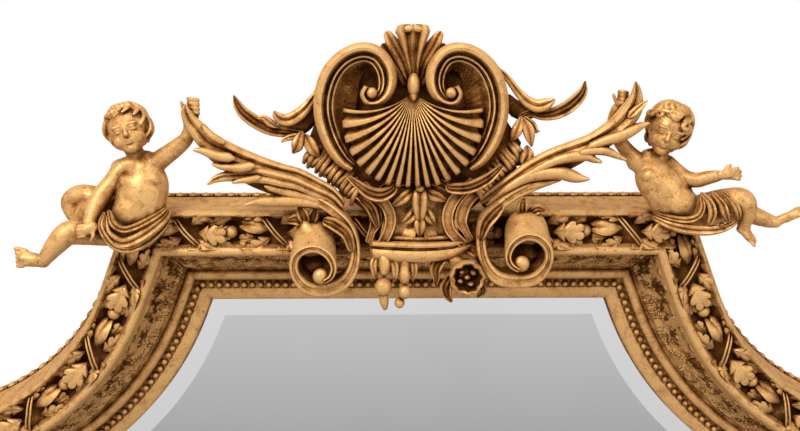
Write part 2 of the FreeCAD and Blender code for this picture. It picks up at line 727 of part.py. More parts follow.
# ---- iron bracket behind the crest, and its screws ----
def crest_bracket():
    half = BRACKET_WIDTH / 2
    low = LIP_TOP_HEIGHT - BRACKET_DOWN
    step = LIP_TOP_HEIGHT + EGG_STAND_OUT + BRACKET_THICKNESS
    side = [
        (RECESS - BRACKET_THICKNESS, low), (RECESS, low), (RECESS, step),
        (CREST_BACK, step), (CREST_BACK, step + BRACKET_UP),
        (CREST_BACK - BRACKET_THICKNESS, step + BRACKET_UP),
        (CREST_BACK - BRACKET_THICKNESS, step + BRACKET_THICKNESS),
        (RECESS - BRACKET_THICKNESS, step + BRACKET_THICKNESS),
    ]
    corners = [Vector(-half, -depth, z) for depth, z in side]
    return Part.Face(Part.makePolygon(corners + corners[:1])).extrude(Vector(BRACKET_WIDTH, 0, 0))


def bracket_notch():
    """Room for the bracket in the back rim of the top cornice."""
    half = BRACKET_WIDTH / 2 + PIN_CLEARANCE
    low = LIP_TOP_HEIGHT - SEAM_INSET
    return prism([(-half, low), (half, low), (half, LIP_TOP_HEIGHT + EGG_STAND_OUT),
                  (-half, LIP_TOP_HEIGHT + EGG_STAND_OUT)], -1, RECESS + PIN_CLEARANCE)


def bracket_screws():
    low = LIP_TOP_HEIGHT - BRACKET_DOWN
    step = LIP_TOP_HEIGHT + EGG_STAND_OUT + BRACKET_THICKNESS
    screws = []
    for rise in (SCREW_HEAD, SCREW_HEAD + BRACKET_SCREW_PITCH):
        screws.append(screw(0, low + rise, RECESS - BRACKET_THICKNESS, SCREW_LENGTH))
        screws.append(screw(0, step + BRACKET_UP - rise, CREST_BACK - BRACKET_THICKNESS, SCREW_LENGTH))
    return screws


def glass_blocks():
    """Thin wedges between the edge of the plate and the rebate."""
    half = BLOCK_LENGTH / 2
    blocks = []
    floor = base_height + rebate_inset
    for x in (-half_width / 2, half_width / 2):
        blocks.append(prism([(x - half, floor), (x + half, floor), (x + half, floor + GLASS_PLAY),
                             (x - half, floor + GLASS_PLAY)], board_front, glass_front))
    wall = half_width - rebate_inset
    for height in BATTEN_HEIGHTS:
        for side in (-1, 1):
            near = side * wall
            far = side * (wall - GLASS_PLAY)
            blocks.append(prism([(near, height - half), (far, height - half), (far, height + half),
                                 (near, height + half)], board_front, glass_front))
    return blocks


# ---- putting the mirror together ----
def largest(shape):
    return max(shape.Solids, key=lambda solid: solid.Volume)


def fitted(nodes, shape):
    """The shape cut to sit against every piece that is already there."""
    near = [other for other in nodes.values() if other.BoundBox.intersect(shape.BoundBox)]
    return largest(shape.cut(near)) if near else shape


def bored(nodes, names, screws):
    for name in names:
        nodes[name] = nodes[name].cut(screws)


def volute(side):
    rows = [(x + (VOLUTE_SHIFT if side > 0 else 0), depth, z + (VOLUTE_LIFT if side > 0 else 0), size)
            for x, depth, z, size in VOLUTE]
    x, depth, z, size = rows[2]
    peg = Part.makeCylinder(size * PEG_WIDTH, depth - LIP_DEPTH + PEG_REACH,
                            Vector(x, -depth, z), Vector(0, 1, 0))
    shape = strand(rows, VOLUTE_THICKNESS).fuse(peg)
    return shape if side > 0 else mirrored(shape)


def strands(rows_list):
    return [strand(rows) for rows in rows_list]


def carvings():
    """Every carved piece of the crest, in the order in which each is fitted to the last.

    A piece is a list of shapes, and a piece with several stays in as many parts.
    """
    finial = strands([FINIAL, FINIAL_LEAF, flipped(FINIAL_LEAF)])
    x, depth, z = ROSE_PLACE
    rose = Part.makeSphere(ROSE_RADIUS, Vector(x, -depth, z))
    return {
        "crest_backing": [crest_backing()],
        "cartouche": [prism(CARTOUCHE, CREST_FRONT, CREST_FRONT + CARTOUCHE_THICKNESS)],
        "shell": [shell()],
        "c_scroll_right": [strand(C_SCROLL, SCROLL_THICKNESS)],
        "c_scroll_left": [strand(flipped(C_SCROLL), SCROLL_THICKNESS)],
        "palmette_finial": [joined(finial)],
        "crest_shelf": [strand(SHELF)],
        "side_scrolls": strands(SIDE_SCROLLS),
        "bellflower": [joined(strands([BELLFLOWER] + BELL_PETALS))],
        "volute_left": [volute(-1)],
        "volute_right": [volute(1)],
        "pendant_buds": strands(BUDS),
        "rose": [joined(strands(ROSE_STALKS) + [rose])],
        "tendril_left": [strand(flipped(TENDRIL))],
        "tendril_right": [strand(TENDRIL)],
        "cherub_left": [figure(LEFT_FIGURE)],
        "cherub_left_head": [head("left")],
        "cherub_left_drapery": [strand(DRAPERY_LEFT)],
        "cherub_right": [figure(RIGHT_FIGURE)],
        "cherub_right_head": [head("right")],
        "cherub_right_drapery": [strand(DRAPERY_RIGHT)],
        "acanthus_spray_left": [joined(strands(SPRAY_LEFT))],
        "acanthus_spray_right": [joined(strands(SPRAY_RIGHT))],
        "husks_left": [joined(strands(HUSKS_LEFT))],
        "husks_right": [joined(strands(HUSKS_RIGHT))],
    }


def build():
    nodes = {}
    nodes.update(frame_lengths(cornice_section(), "cornice"))
    nodes.update(frame_lengths(carcass_section(), "carcass"))
    nodes.update(frame_lengths(sight_section(), "sight_moulding"))
    nodes.update(garlands())
    nodes["cornice_top"] = nodes["cornice_top"].cut(bracket_notch())

    for name, shapes in carvings().items():
        placed = [fitted(nodes, shape) for shape in shapes]
        nodes[name] = placed[0] if len(placed) == 1 else Part.makeCompound(placed)

    nodes["crest_bracket"] = crest_bracket()
    screws = bracket_screws()
    bored(nodes, ("crest_bracket", "carcass_top", "crest_backing"), screws)
    all_screws = screws

    nodes["mirror_glass"] = mirror_glass()
    nodes["backboard_left"], nodes["backboard_right"] = backboards()
    nodes["glass_blocks"] = Part.makeCompound(glass_blocks())
    battens = Part.makeCompound([batten(height) for height in BATTEN_HEIGHTS])
    screws = [screw(side * hanger_x, height, RECESS - BATTEN_THICKNESS, SCREW_LENGTH)
              for side in (-1, 1) for height in BATTEN_HEIGHTS]
    nodes["back_battens"] = battens
    bored(nodes, ("back_battens", "carcass_stile_left", "carcass_stile_right"), screws)
    all_screws = all_screws + screws

    for name, side in (("left", -1), ("right", 1)):
        x = side * hanger_x
        screws = hanger_screws(x)
        nodes["hanger_strap_" + name] = hanger_strap(x).cut(screws)
        nodes["hanger_ring_" + name] = hanger_ring(x)
        bored(nodes, ("carcass_stile_" + name,), screws)
        all_screws = all_screws + screws
    nodes["wood_screws"] = Part.makeCompound(all_screws)
    return nodes


os.makedirs("parts", exist_ok=True)
for node_name, node_shape in build().items():
    node_shape.exportStep("parts/" + node_name + ".step")
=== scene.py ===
import json
import math
import random

import bpy
import numpy as np
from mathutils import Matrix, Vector

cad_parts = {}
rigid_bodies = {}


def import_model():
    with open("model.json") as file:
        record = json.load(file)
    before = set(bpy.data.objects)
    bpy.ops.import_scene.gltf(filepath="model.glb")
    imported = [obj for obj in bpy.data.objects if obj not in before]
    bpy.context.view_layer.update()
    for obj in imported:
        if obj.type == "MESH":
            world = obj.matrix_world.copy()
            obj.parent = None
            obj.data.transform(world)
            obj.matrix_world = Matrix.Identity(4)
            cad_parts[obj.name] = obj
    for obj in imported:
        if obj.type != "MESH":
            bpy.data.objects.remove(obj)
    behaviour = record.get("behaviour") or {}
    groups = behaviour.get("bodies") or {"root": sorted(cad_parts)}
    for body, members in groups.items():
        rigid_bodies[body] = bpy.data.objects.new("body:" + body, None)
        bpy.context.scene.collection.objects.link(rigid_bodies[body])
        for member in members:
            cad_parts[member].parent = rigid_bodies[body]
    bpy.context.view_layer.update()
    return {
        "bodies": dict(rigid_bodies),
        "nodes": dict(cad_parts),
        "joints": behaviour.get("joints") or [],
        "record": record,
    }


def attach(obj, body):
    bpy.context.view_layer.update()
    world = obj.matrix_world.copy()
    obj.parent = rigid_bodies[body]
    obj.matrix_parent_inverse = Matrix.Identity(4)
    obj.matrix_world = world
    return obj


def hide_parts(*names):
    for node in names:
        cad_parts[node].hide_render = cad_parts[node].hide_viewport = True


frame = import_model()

bl_info = {
    "name": "Trumeau mirror",
    "version": (1, 0, 0),
    "blender": (4, 5, 0),
    "location": "View3D > Sidebar > Mirror",
    "description": "Carved and gilt wall mirror with an oak garland, a shell crest and two figures",
    "category": "Add Mesh",
}

# Points are (x, depth, z) in millimetres: x to the right, depth out from the wall, z up.
# "Inset" is the distance inwards from the lip line, the sharp outer edge of the moulding.
MM = 0.001

# ---- outline and section of the frame, as in the part's source ----
TOP_HALF_WIDTH = 352.0
LIP_TOP_HEIGHT = 1785.0
SHOULDER_ANGLE = math.radians(69.0)
SHOULDER_STRAIGHT = 110.0
SHOULDER_RADIUS = 287.0
EAR_LENGTH = 20.0
BASE_HEIGHT = 1.0
HALF_TURN = math.tan(SHOULDER_ANGLE / 2)
STRAIGHT_SHARE = 0.2         # share of the points of a shoulder that lie on its straight part

SEAM_INSET = 10.0
RIM_INSET = -12.0
HOLLOW_MIDDLE = 24.0
HOLLOW_RADIUS = 21.29
HOLLOW_CENTRE = 106.29
FILLET_END = 55.0
FRIEZE_START = 93.0
FRIEZE_END = 84.0
ROUND_DEPTH = 39.0
ROUND_END = 99.0
CHANNEL_END = 110.0
SIGHT_EDGE = 126.0
SIGHT_DEPTH = 35.0
GLASS_FRONT = 26.0
GLASS_BACK = 20.0
REBATE_INSET = 111.0
GLASS_INSET = 112.5
RECESS = 14.0
BEVEL_WIDTH = 24.0
BEVEL_DROP = 1.4


# ================= outline =================
def shoulder_parts(inset):
    """Length of the straight part, angle of the curve and length of the ear at an inset."""
    straight = SHOULDER_STRAIGHT - inset * HALF_TURN
    radius = SHOULDER_RADIUS + inset
    past = EAR_LENGTH - inset
    turn = SHOULDER_ANGLE + (math.asin(past / radius) if past < 0 else 0.0)
    return straight, radius, turn, max(past, 0.0)


CURVE_START = (TOP_HALF_WIDTH + SHOULDER_STRAIGHT * math.cos(SHOULDER_ANGLE),
               LIP_TOP_HEIGHT - SHOULDER_STRAIGHT * math.sin(SHOULDER_ANGLE))
CURVE_CENTRE = (CURVE_START[0] + SHOULDER_RADIUS * math.sin(SHOULDER_ANGLE),
                CURVE_START[1] + SHOULDER_RADIUS * math.cos(SHOULDER_ANGLE))
HALF_WIDTH = CURVE_CENTRE[0] + EAR_LENGTH


def run_length(run, inset):
    straight, radius, turn, ear = shoulder_parts(inset)
    if run == "top":
        return 2 * (TOP_HALF_WIDTH - inset * HALF_TURN)
    if run == "shoulder":
        return straight + radius * turn + ear
    if run == "stile":
        return stile_head(inset) - BASE_HEIGHT - inset
    return 2 * (HALF_WIDTH - inset)


def stile_head(inset):
    _, radius, turn, ear = shoulder_parts(inset)
    if ear > 0:
        return CURVE_CENTRE[1] - SHOULDER_RADIUS - inset
    angle = math.pi * 1.5 - SHOULDER_ANGLE + turn
    return CURVE_CENTRE[1] + radius * math.sin(angle)


def locate(run, inset, distance):
    """Point and direction (x, z, way x, way z) on a run of the frame, at an inset."""
    if run == "top":
        half = run_length("top", inset) / 2
        return distance - half, LIP_TOP_HEIGHT - inset, 1.0, 0.0
    if run == "stile":
        return HALF_WIDTH - inset, stile_head(inset) - distance, 0.0, -1.0
    if run == "base":
        return HALF_WIDTH - inset - distance, BASE_HEIGHT + inset, -1.0, 0.0
    straight, radius, turn, ear = shoulder_parts(inset)
    cos, sin = math.cos(SHOULDER_ANGLE), math.sin(SHOULDER_ANGLE)
    if distance < straight:
        start_x = TOP_HALF_WIDTH - inset * HALF_TURN
        return start_x + distance * cos, LIP_TOP_HEIGHT - inset - distance * sin, cos, -sin
    rest = distance - straight
    if rest < radius * turn or ear == 0:
        angle = math.pi * 1.5 - SHOULDER_ANGLE + rest / radius
        x = CURVE_CENTRE[0] + radius * math.cos(angle)
        z = CURVE_CENTRE[1] + radius * math.sin(angle)
        return x, z, -math.sin(angle), math.cos(angle)
    rest -= radius * turn
    return CURVE_CENTRE[0] + rest, CURVE_CENTRE[1] - radius, 1.0, 0.0


def run_points(run, inset, count):
    """Points (x, z) spread along a run, from mitre to mitre."""
    length = run_length(run, inset)
    straight = shoulder_parts(inset)[0]
    points = []
    for index in range(count):
        share = index / (count - 1)
        distance = share * length
        if run == "shoulder":
            if share < STRAIGHT_SHARE:
                distance = straight * share / STRAIGHT_SHARE
            else:
                distance = straight + (length - straight) * (share - STRAIGHT_SHARE) / (1 - STRAIGHT_SHARE)
        points.append(locate(run, inset, distance)[:2])
    return points


def hollow_depth(inset):
    return HOLLOW_CENTRE - math.sqrt(HOLLOW_RADIUS ** 2 - (inset - HOLLOW_MIDDLE) ** 2)


def arc(first, middle, last, count):
    """Points of the arc through three points, without the last."""
    (ax, ay), (bx, by), (cx, cy) = first, middle, last
    d = 2 * (ax * (by - cy) + bx * (cy - ay) + cx * (ay - by))
    a2, b2, c2 = ax * ax + ay * ay, bx * bx + by * by, cx * cx + cy * cy
    ux = (a2 * (by - cy) + b2 * (cy - ay) + c2 * (ay - by)) / d
    uy = (a2 * (cx - bx) + b2 * (ax - cx) + c2 * (bx - ax)) / d
    radius = math.hypot(ax - ux, ay - uy)
    start = math.atan2(ay - uy, ax - ux)
    mid = math.atan2(by - uy, bx - ux)
    end = math.atan2(cy - uy, cx - ux)
    turn = (end - start) % (2 * math.pi)
    if (mid - start) % (2 * math.pi) > turn:
        turn -= 2 * math.pi
    return [(ux + radius * math.cos(start + turn * k / count), uy + radius * math.sin(start + turn * k / count))
            for k in range(count)]


# ================= forms =================
class Form:
    """Points and faces of closed shapes, gathered for one piece; tint 1 marks faces of ground that get the darker
    gilt of painted shade.
    """

    def __init__(self):
        self.points = []
        self.faces = []
        self.tints = []
        self.count = 0

    def add(self, points, faces, tints=0):
        """Adds one closed shape, turned so that its faces point outwards."""
        points = np.asarray(points, float)
        corners = np.array([(face[0], face[k], face[k + 1]) for face in faces for k in range(1, len(face) - 1)])
        a, b, c = points[corners[:, 0]], points[corners[:, 1]], points[corners[:, 2]]
        turned = (a * np.cross(b, c)).sum() > 0      # depth counts against Y, which turns a shape inside out
        rings = [tuple(self.count + v for v in face) for face in faces]
        self.faces += [ring[::-1] for ring in rings] if turned else rings
        self.tints += [tints] * len(faces) if isinstance(tints, int) else list(tints)
        self.points.append(points)
        self.count += len(points)
        return self

    def all_points(self):
        return np.concatenate(self.points)


def tube(form, rings, tints=None):
    """Closed shape through rings of points (n, m, 3), with flat ends; tints holds one value a column."""
    rings = np.asarray(rings, float)
    n, m = rings.shape[:2]
    faces = [tuple(range(m)), tuple(reversed(range((n - 1) * m, n * m)))]
    for i in range(n - 1):
        for j in range(m):
            a, b = i * m + j, i * m + (j + 1) % m
            faces.append((b, a, a + m, b + m))
    columns = tints or [0] * m
    form.add(rings.reshape(-1, 3), faces, [0, 0] + list(columns) * (n - 1))


def slab(form, front, back):
    """Closed shape between a front and a back grid of points (n, m, 3)."""
    n, m = front.shape[:2]
    half = n * m
    faces = []
    for i in range(n - 1):
        for j in range(m - 1):
            a = i * m + j
            faces.append((a, a + 1, a + m + 1, a + m))
            faces.append((half + a, half + a + m, half + a + m + 1, half + a + 1))
    rim = [j for j in range(m)] + [i * m + m - 1 for i in range(1, n)]
    rim += [(n - 1) * m + j for j in range(m - 2, -1, -1)] + [i * m for i in range(n - 2, 0, -1)]
    for a, b in zip(rim, rim[1:] + rim[:1]):
        faces.append((b, a, half + a, half + b))
    form.add(np.concatenate([front.reshape(-1, 3), back.reshape(-1, 3)]), faces)


def ball(form, centre, radii, around, tall, frame=None, tint=0):
    """A ball or egg; frame holds the directions of its three radii."""
    frame = np.eye(3) if frame is None else np.asarray(frame, float)
    points = [np.array([0, 0, -1.0])]
    for i in range(1, tall):
        pole = -math.pi / 2 + math.pi * i / tall
        for j in range(around):
            turn = 2 * math.pi * j / around
            flat = math.cos(pole)
            points.append(np.array([flat * math.cos(turn), flat * math.sin(turn), math.sin(pole)]))
    points.append(np.array([0, 0, 1.0]))
    last = len(points) - 1
    placed = [np.asarray(centre, float) + (p * radii) @ frame for p in points]
    faces = []
    for j in range(around):
        k = (j + 1) % around
        faces.append((0, 1 + k, 1 + j))
        top = 1 + (tall - 2) * around
        faces.append((last, top + j, top + k))
        for i in range(tall - 2):
            a = 1 + i * around
            faces.append((a + j, a + k, a + around + k, a + around + j))
    form.add(placed, faces, tint)


def eased(rows, steps):
    """A smooth line through the rows, with steps points from each row to the next."""
    rows = np.array(rows, float)
    ends = np.vstack([2 * rows[0] - rows[1], rows, 2 * rows[-1] - rows[-2]])
    out = []
    for k in range(len(rows) - 1):
        a, b, c, d = ends[k:k + 4]
        for s in np.arange(steps) / steps:
            bend, twist = 2 * a - 5 * b + 4 * c - d, 3 * b - a - 3 * c + d
            out.append(0.5 * (2 * b + (c - a) * s + bend * s * s + twist * s ** 3))
    out.append(rows[-1])
    return np.array(out)


def unit(v):
    return v / (np.linalg.norm(v) + 1e-9)


def even(left, middle, back):
    """A section that is the same on both sides: its front from left to right, then its back."""
    return left + middle + [(-across, out) for across, out in reversed(left)] + back


# sections of carved bands: (across, out), both in half widths; front from left to right, then back
ACANTHUS = even([(-1, -.1), (-.94, .25), (-.76, .52), (-.56, .42), (-.36, .08), (-.18, .16)], [(0, .5)],
                [(.6, -.45), (0, -.55), (-.6, -.45)])
LEAF = even([(-1, -.05), (-.8, .3), (-.45, .42), (-.15, .26)], [(0, .12)], [(.5, -.4), (-.5, -.4)])
RIBBON = even([(-1, .1), (-.9, .42), (-.7, .36), (-.5, -.02), (-.2, -.2)], [], [(.7, -.45), (0, -.6), (-.7, -.45)])
RIDGE = [(-1, -.75), (-.94, -.15), (-.74, .3), (-.34, .58), (.3, .6), (.7, .36), (.93, -.1), (1, -.75),
         (.5, -1), (-.5, -1)]
DARK = [1] * len(RIDGE)      # tints of a band that is all ground, in the darker gilt of painted shade
ROUND = [(math.cos(k * math.pi / 6), math.sin(k * math.pi / 6)) for k in range(12)]


TIP_WIDTH = 0.35             # share of its width that a band keeps at its tips
THINNEST = 0.4


def gradient_ways(centre):
    """Unit directions along a line of points."""
    return np.array([unit(w) for w in np.gradient(centre, axis=0)])


def band(form, rows, section, steps, flat, tip=0.45, out=(0, 1, 0), tints=None, grow=1.0):
    """A carved band along rows of (x, depth, z, half width), with its face turned towards out."""
    path = eased(rows, steps)
    centre = path[:, :3]
    size = np.maximum(path[:, 3] * grow, THINNEST)
    ways = gradient_ways(centre)
    places = [(centre[0] - ways[0] * size[0] * tip, TIP_WIDTH, 0)]
    places += [(centre[k], 1.0, k) for k in range(len(centre))]
    places += [(centre[-1] + ways[-1] * size[-1] * tip, TIP_WIDTH, len(centre) - 1)]
    rings = []
    for place, shrink, k in places:
        across = unit(np.cross(ways[k], np.array(out, float)))
        lift = np.cross(across, ways[k])
        half = size[k] * shrink
        rings.append([place + across * half * s + lift * half * flat * t for s, t in section])
    tube(form, rings, tints)


def bands(form, rows_list, section, steps, flat, **values):
    """Several bands with one section."""
    for rows in rows_list:
        band(form, rows, section, steps, flat, **values)
    return form


def rod(form, rows, steps, tip=0.6):
    band(form, rows, ROUND, steps, 1.0, tip)


def mirrored_form(form):
    other = Form()
    points = form.all_points()
    points[:, 0] *= -1
    other.points = [points]
    other.faces = [face[::-1] for face in form.faces]
    other.tints = list(form.tints)
    return other


# ================= materials =================
def node(tree, kind, place=(0, 0), **values):
    made = tree.nodes.new(kind)
    made.location = place
    for key, value in values.items():
        setattr(made, key, value)
    return made


def mix(tree, factor, first, second, mode="MIX"):
    """A colour mix; factor, first and second are sockets or values."""
    made = node(tree, "ShaderNodeMix", data_type="RGBA", blend_type=mode)
    for socket, value in ((made.inputs[0], factor), (made.inputs[6], first), (made.inputs[7], second)):
        if isinstance(value, bpy.types.NodeSocket):
            tree.links.new(value, socket)
        else:
            socket.default_value = value
    return made.outputs[2]


def ramp(tree, source, stops):
    made = node(tree, "ShaderNodeValToRGB")
    while len(made.color_ramp.elements) < len(stops):
        made.color_ramp.elements.new(0.5)
    for element, (place, value) in zip(made.color_ramp.elements, stops):
        element.position = place
        element.color = (value, value, value, 1) if isinstance(value, float) else (*value, 1)
    tree.links.new(source, made.inputs[0])
    return made.outputs[0]


def mottle_group():
    """Node group: soft clouds, fine grain and specks at real scales, from Object coordinates."""
    group = bpy.data.node_groups.new("surface_mottle", "ShaderNodeTree")
    face = group.interface
    for name, size in (("Cloud size", 0.03), ("Grain size", 0.002), ("Speck size", 0.004)):
        face.new_socket(name=name, in_out="INPUT", socket_type="NodeSocketFloat").default_value = size
    for name in ("Clouds", "Grain", "Specks"):
        face.new_socket(name=name, in_out="OUTPUT", socket_type="NodeSocketFloat")
    inside = node(group, "NodeGroupInput", (-800, 0))
    outside = node(group, "NodeGroupOutput", (600, 0))
    place = node(group, "ShaderNodeTexCoord", (-800, 300))
    for index, (name, detail) in enumerate((("Clouds", 3.0), ("Grain", 2.0), ("Specks", 4.0))):
        scale = node(group, "ShaderNodeMath", (-500, -200 * index), operation="DIVIDE")
        scale.inputs[0].default_value = 1.0
        group.links.new(inside.outputs[index], scale.inputs[1])
        cloud = node(group, "ShaderNodeTexNoise", (-250, -200 * index))
        cloud.inputs["Detail"].default_value = detail
        group.links.new(place.outputs["Object"], cloud.inputs["Vector"])
        group.links.new(scale.outputs[0], cloud.inputs["Scale"])
        source = cloud.outputs["Fac"]
        if name == "Specks":
            cut = node(group, "ShaderNodeMapRange", (50, -200 * index))
            cut.inputs["From Min"].default_value = 0.68
            cut.inputs["From Max"].default_value = 0.74
            group.links.new(source, cut.inputs["Value"])
            source = cut.outputs[0]
        group.links.new(source, outside.inputs[name])
    return group


def add_mottle(tree, clouds, grain, specks):
    group = bpy.data.node_groups.get("surface_mottle") or mottle_group()
    made = node(tree, "ShaderNodeGroup", (-900, 0))
    made.node_tree = group
    made.inputs["Cloud size"].default_value = clouds
    made.inputs["Grain size"].default_value = grain
    made.inputs["Speck size"].default_value = specks
    return made


def start_material(name):
    """A new material, its tree and its shader."""
    material = bpy.data.materials.new(name)
    material.use_nodes = True
    return material, material.node_tree, material.node_tree.nodes["Principled BSDF"]


def add_bump(tree, shader, height, strength, distance):
    bump = node(tree, "ShaderNodeBump", (-200, -300))
    bump.inputs["Strength"].default_value = strength
    bump.inputs["Distance"].default_value = distance
    tree.links.new(height, bump.inputs["Height"])
    tree.links.new(bump.outputs[0], shader.inputs["Normal"])


GROOVE_REACH = 0.008         # metres over which painted shade darkens a narrow groove
HOLLOW_REACH = 4.5           # painted shade darkens a wide hollow over this many times that
# least light that the painted shade leaves at the bottom of a wide hollow
HOLLOW_LEAST = 0.32
GILT_MOTTLE = (0.013, 0.0018, 0.0055)
CHIP_MIDDLE = -0.52          # mean of the noise, taken off so that chips go both ways
CHIPS = (("Clouds", 1.0), ("Grain", 0.5))


def gilt(name, colours, metallic=0.35, rough=(0.36, 0.55), grain_bump=0.25, stops=(0.17, 0.40, 0.68, 0.95)):
    """Water gilding over red clay, darkened in its narrow grooves and in its wide hollows by painted shade from
    ambient occlusion together with old dirt.
    """
    bright, mid, deep, dark = colours
    material, tree, shader = start_material(name)
    mottle = add_mottle(tree, *GILT_MOTTLE)
    light = []
    # painted shade: ambient occlusion over two reaches darkens grooves and hollows where shade falls
    for distance, low in ((GROOVE_REACH, 0.0), (GROOVE_REACH * HOLLOW_REACH, HOLLOW_LEAST)):
        shade = node(tree, "ShaderNodeAmbientOcclusion", (-1100, 400), samples=6)
        shade.inputs["Distance"].default_value = distance
        spread = node(tree, "ShaderNodeMapRange", (-900, 400))
        spread.inputs["To Min"].default_value = low
        tree.links.new(shade.outputs["AO"], spread.inputs["Value"])
        light.append(spread.outputs[0])
    both = node(tree, "ShaderNodeMath", (-700, 400), operation="MULTIPLY")
    tree.links.new(light[0], both.inputs[0])
    tree.links.new(light[1], both.inputs[1])
    shade_and_wear = both.outputs[0]
    for output, weight in CHIPS:
        chips = node(tree, "ShaderNodeMath", (-600, 200), operation="MULTIPLY_ADD")
        tree.links.new(mottle.outputs[output], chips.inputs[0])
        chips.inputs[1].default_value = weight
        chips.inputs[2].default_value = CHIP_MIDDLE * weight
        sum_up = node(tree, "ShaderNodeMath", (-500, 400), operation="ADD")
        tree.links.new(shade_and_wear, sum_up.inputs[0])
        tree.links.new(chips.outputs[0], sum_up.inputs[1])
        shade_and_wear = sum_up.outputs[0]
    # painted shade, dirt and chips become colour: patina and red clay in the hollows, bright gold on open faces
    tone = ramp(tree, shade_and_wear, list(zip(stops, (dark, deep, mid, bright))))
    grain = ramp(tree, mottle.outputs["Grain"], [(0.3, 0.82), (0.7, 1.0)])
    colour = mix(tree, 1.0, tone, grain, "MULTIPLY")
    colour = mix(tree, mottle.outputs["Specks"], colour, (*deep, 1))
    tree.links.new(colour, shader.inputs["Base Color"])
    # the metal fades where the painted shade is deepest
    tree.links.new(ramp(tree, shade_and_wear, [(0.3, 0.0), (0.8, metallic)]), shader.inputs["Metallic"])
    shader.inputs["Specular IOR Level"].default_value = 0.06
    shader.inputs["Specular Tint"].default_value = (*mid, 1)
    roughness = ramp(tree, mottle.outputs["Clouds"], [(0.3, rough[1]), (0.7, rough[0])])
    tree.links.new(roughness, shader.inputs["Roughness"])
    add_bump(tree, shader, mottle.outputs["Grain"], grain_bump, 0.0006)
    return material


def plain_finish(name, first, second, metallic, rough, cloud, grain, stretch=(1, 1, 1)):
    """Pine, brass and iron: two tones in clouds and grain, stretched along the wood."""
    material, tree, shader = start_material(name)
    place = node(tree, "ShaderNodeTexCoord", (-1200, 0))
    turn = node(tree, "ShaderNodeMapping", (-1000, 0))
    turn.inputs["Scale"].default_value = stretch
    tree.links.new(place.outputs["Object"], turn.inputs["Vector"])
    noise = node(tree, "ShaderNodeTexNoise", (-800, 0))
    noise.inputs["Scale"].default_value = 1 / cloud
    noise.inputs["Detail"].default_value = 6
    tree.links.new(turn.outputs[0], noise.inputs["Vector"])
    colour = ramp(tree, noise.outputs["Fac"], [(0.32, first), (0.68, second)])
    mottle = add_mottle(tree, cloud * 3, grain, grain * 3)
    fine = ramp(tree, mottle.outputs["Grain"], [(0.3, 0.84), (0.7, 1.0)])
    colour = mix(tree, 1.0, colour, fine, "MULTIPLY")
    tree.links.new(colour, shader.inputs["Base Color"])
    shader.inputs["Metallic"].default_value = metallic
    roughness = ramp(tree, mottle.outputs["Clouds"], [(0.3, rough), (0.7, rough + 0.15)])
    tree.links.new(roughness, shader.inputs["Roughness"])
    add_bump(tree, shader, noise.outputs["Fac"], 0.3, 0.0004)
    return material


def silvered(name, colour, low, high, darker):
    """Mirror plate: silvering under glass, with a painted reflection that grows paler from the height low to high,
    and with clouds and foxing.
    """
    material, tree, shader = start_material(name)
    mottle = add_mottle(tree, 0.25, 0.003, 0.012)
    place = node(tree, "ShaderNodeTexCoord", (-1200, 0))
    split = node(tree, "ShaderNodeSeparateXYZ", (-1000, 0))
    tree.links.new(place.outputs["Object"], split.inputs[0])
    height = node(tree, "ShaderNodeMapRange", (-800, 0))
    height.inputs["From Min"].default_value = low
    height.inputs["From Max"].default_value = high
    tree.links.new(split.outputs["Z"], height.inputs["Value"])
    # painted reflection: darker towards the bottom and paler towards the top
    tone = ramp(tree, height.outputs[0], [(0.0, tuple(c * darker for c in colour)), (1.0, colour)])
    clouds = ramp(tree, mottle.outputs["Clouds"], [(0.3, 0.96), (0.7, 1.0)])
    tone = mix(tree, 1.0, tone, clouds, "MULTIPLY")
    aged = mix(tree, 0.06, tone, (0.45, 0.42, 0.36, 1))
    tree.links.new(mix(tree, mottle.outputs["Specks"], tone, aged), shader.inputs["Base Color"])
    shader.inputs["Metallic"].default_value = 1.0
    tree.links.new(ramp(tree, mottle.outputs["Clouds"], [(0.3, 0.03), (0.7, 0.06)]), shader.inputs["Roughness"])
    return material


# ================= settings =================
class MirrorSizes(bpy.types.PropertyGroup):
    """Sizes of the carved detail."""

    egg_pitch: bpy.props.FloatProperty(
        name="Egg pitch", description="Distance between the eggs of the outer edge",
        default=0.0165, min=0.008, unit="LENGTH")
    bead_pitch: bpy.props.FloatProperty(
        name="Bead pitch", description="Distance between the beads at the sight edge",
        default=0.0109, min=0.006, unit="LENGTH")
    bead_size: bpy.props.FloatProperty(
        name="Bead size", description="Diameter of a bead", default=0.0086, min=0.003, unit="LENGTH")
    garland_pitch: bpy.props.FloatProperty(
        name="Garland pitch", description="Distance between two acorns of the garland",
        default=0.120, min=0.08, unit="LENGTH")
    leaf_length: bpy.props.FloatProperty(
        name="Leaf length", description="Length of an oak leaf in the hollow",
        default=0.034, min=0.01, unit="LENGTH")
    frieze_step: bpy.props.FloatProperty(
        name="Frieze step", description="Distance between the points that carry the frieze relief",
        default=0.0016, min=0.001, unit="LENGTH")
    frieze_height: bpy.props.FloatProperty(
        name="Frieze relief", description="Height of the low relief of the frieze",
        default=0.0032, min=0.0, unit="LENGTH")
    figure_detail: bpy.props.FloatProperty(
        name="Figure detail", description="Voxel size of the carved figures",
        default=0.0012, min=0.0008, unit="LENGTH")
    head_detail: bpy.props.FloatProperty(
        name="Head detail", description="Voxel size of the heads", default=0.0008, min=0.0006, unit="LENGTH")


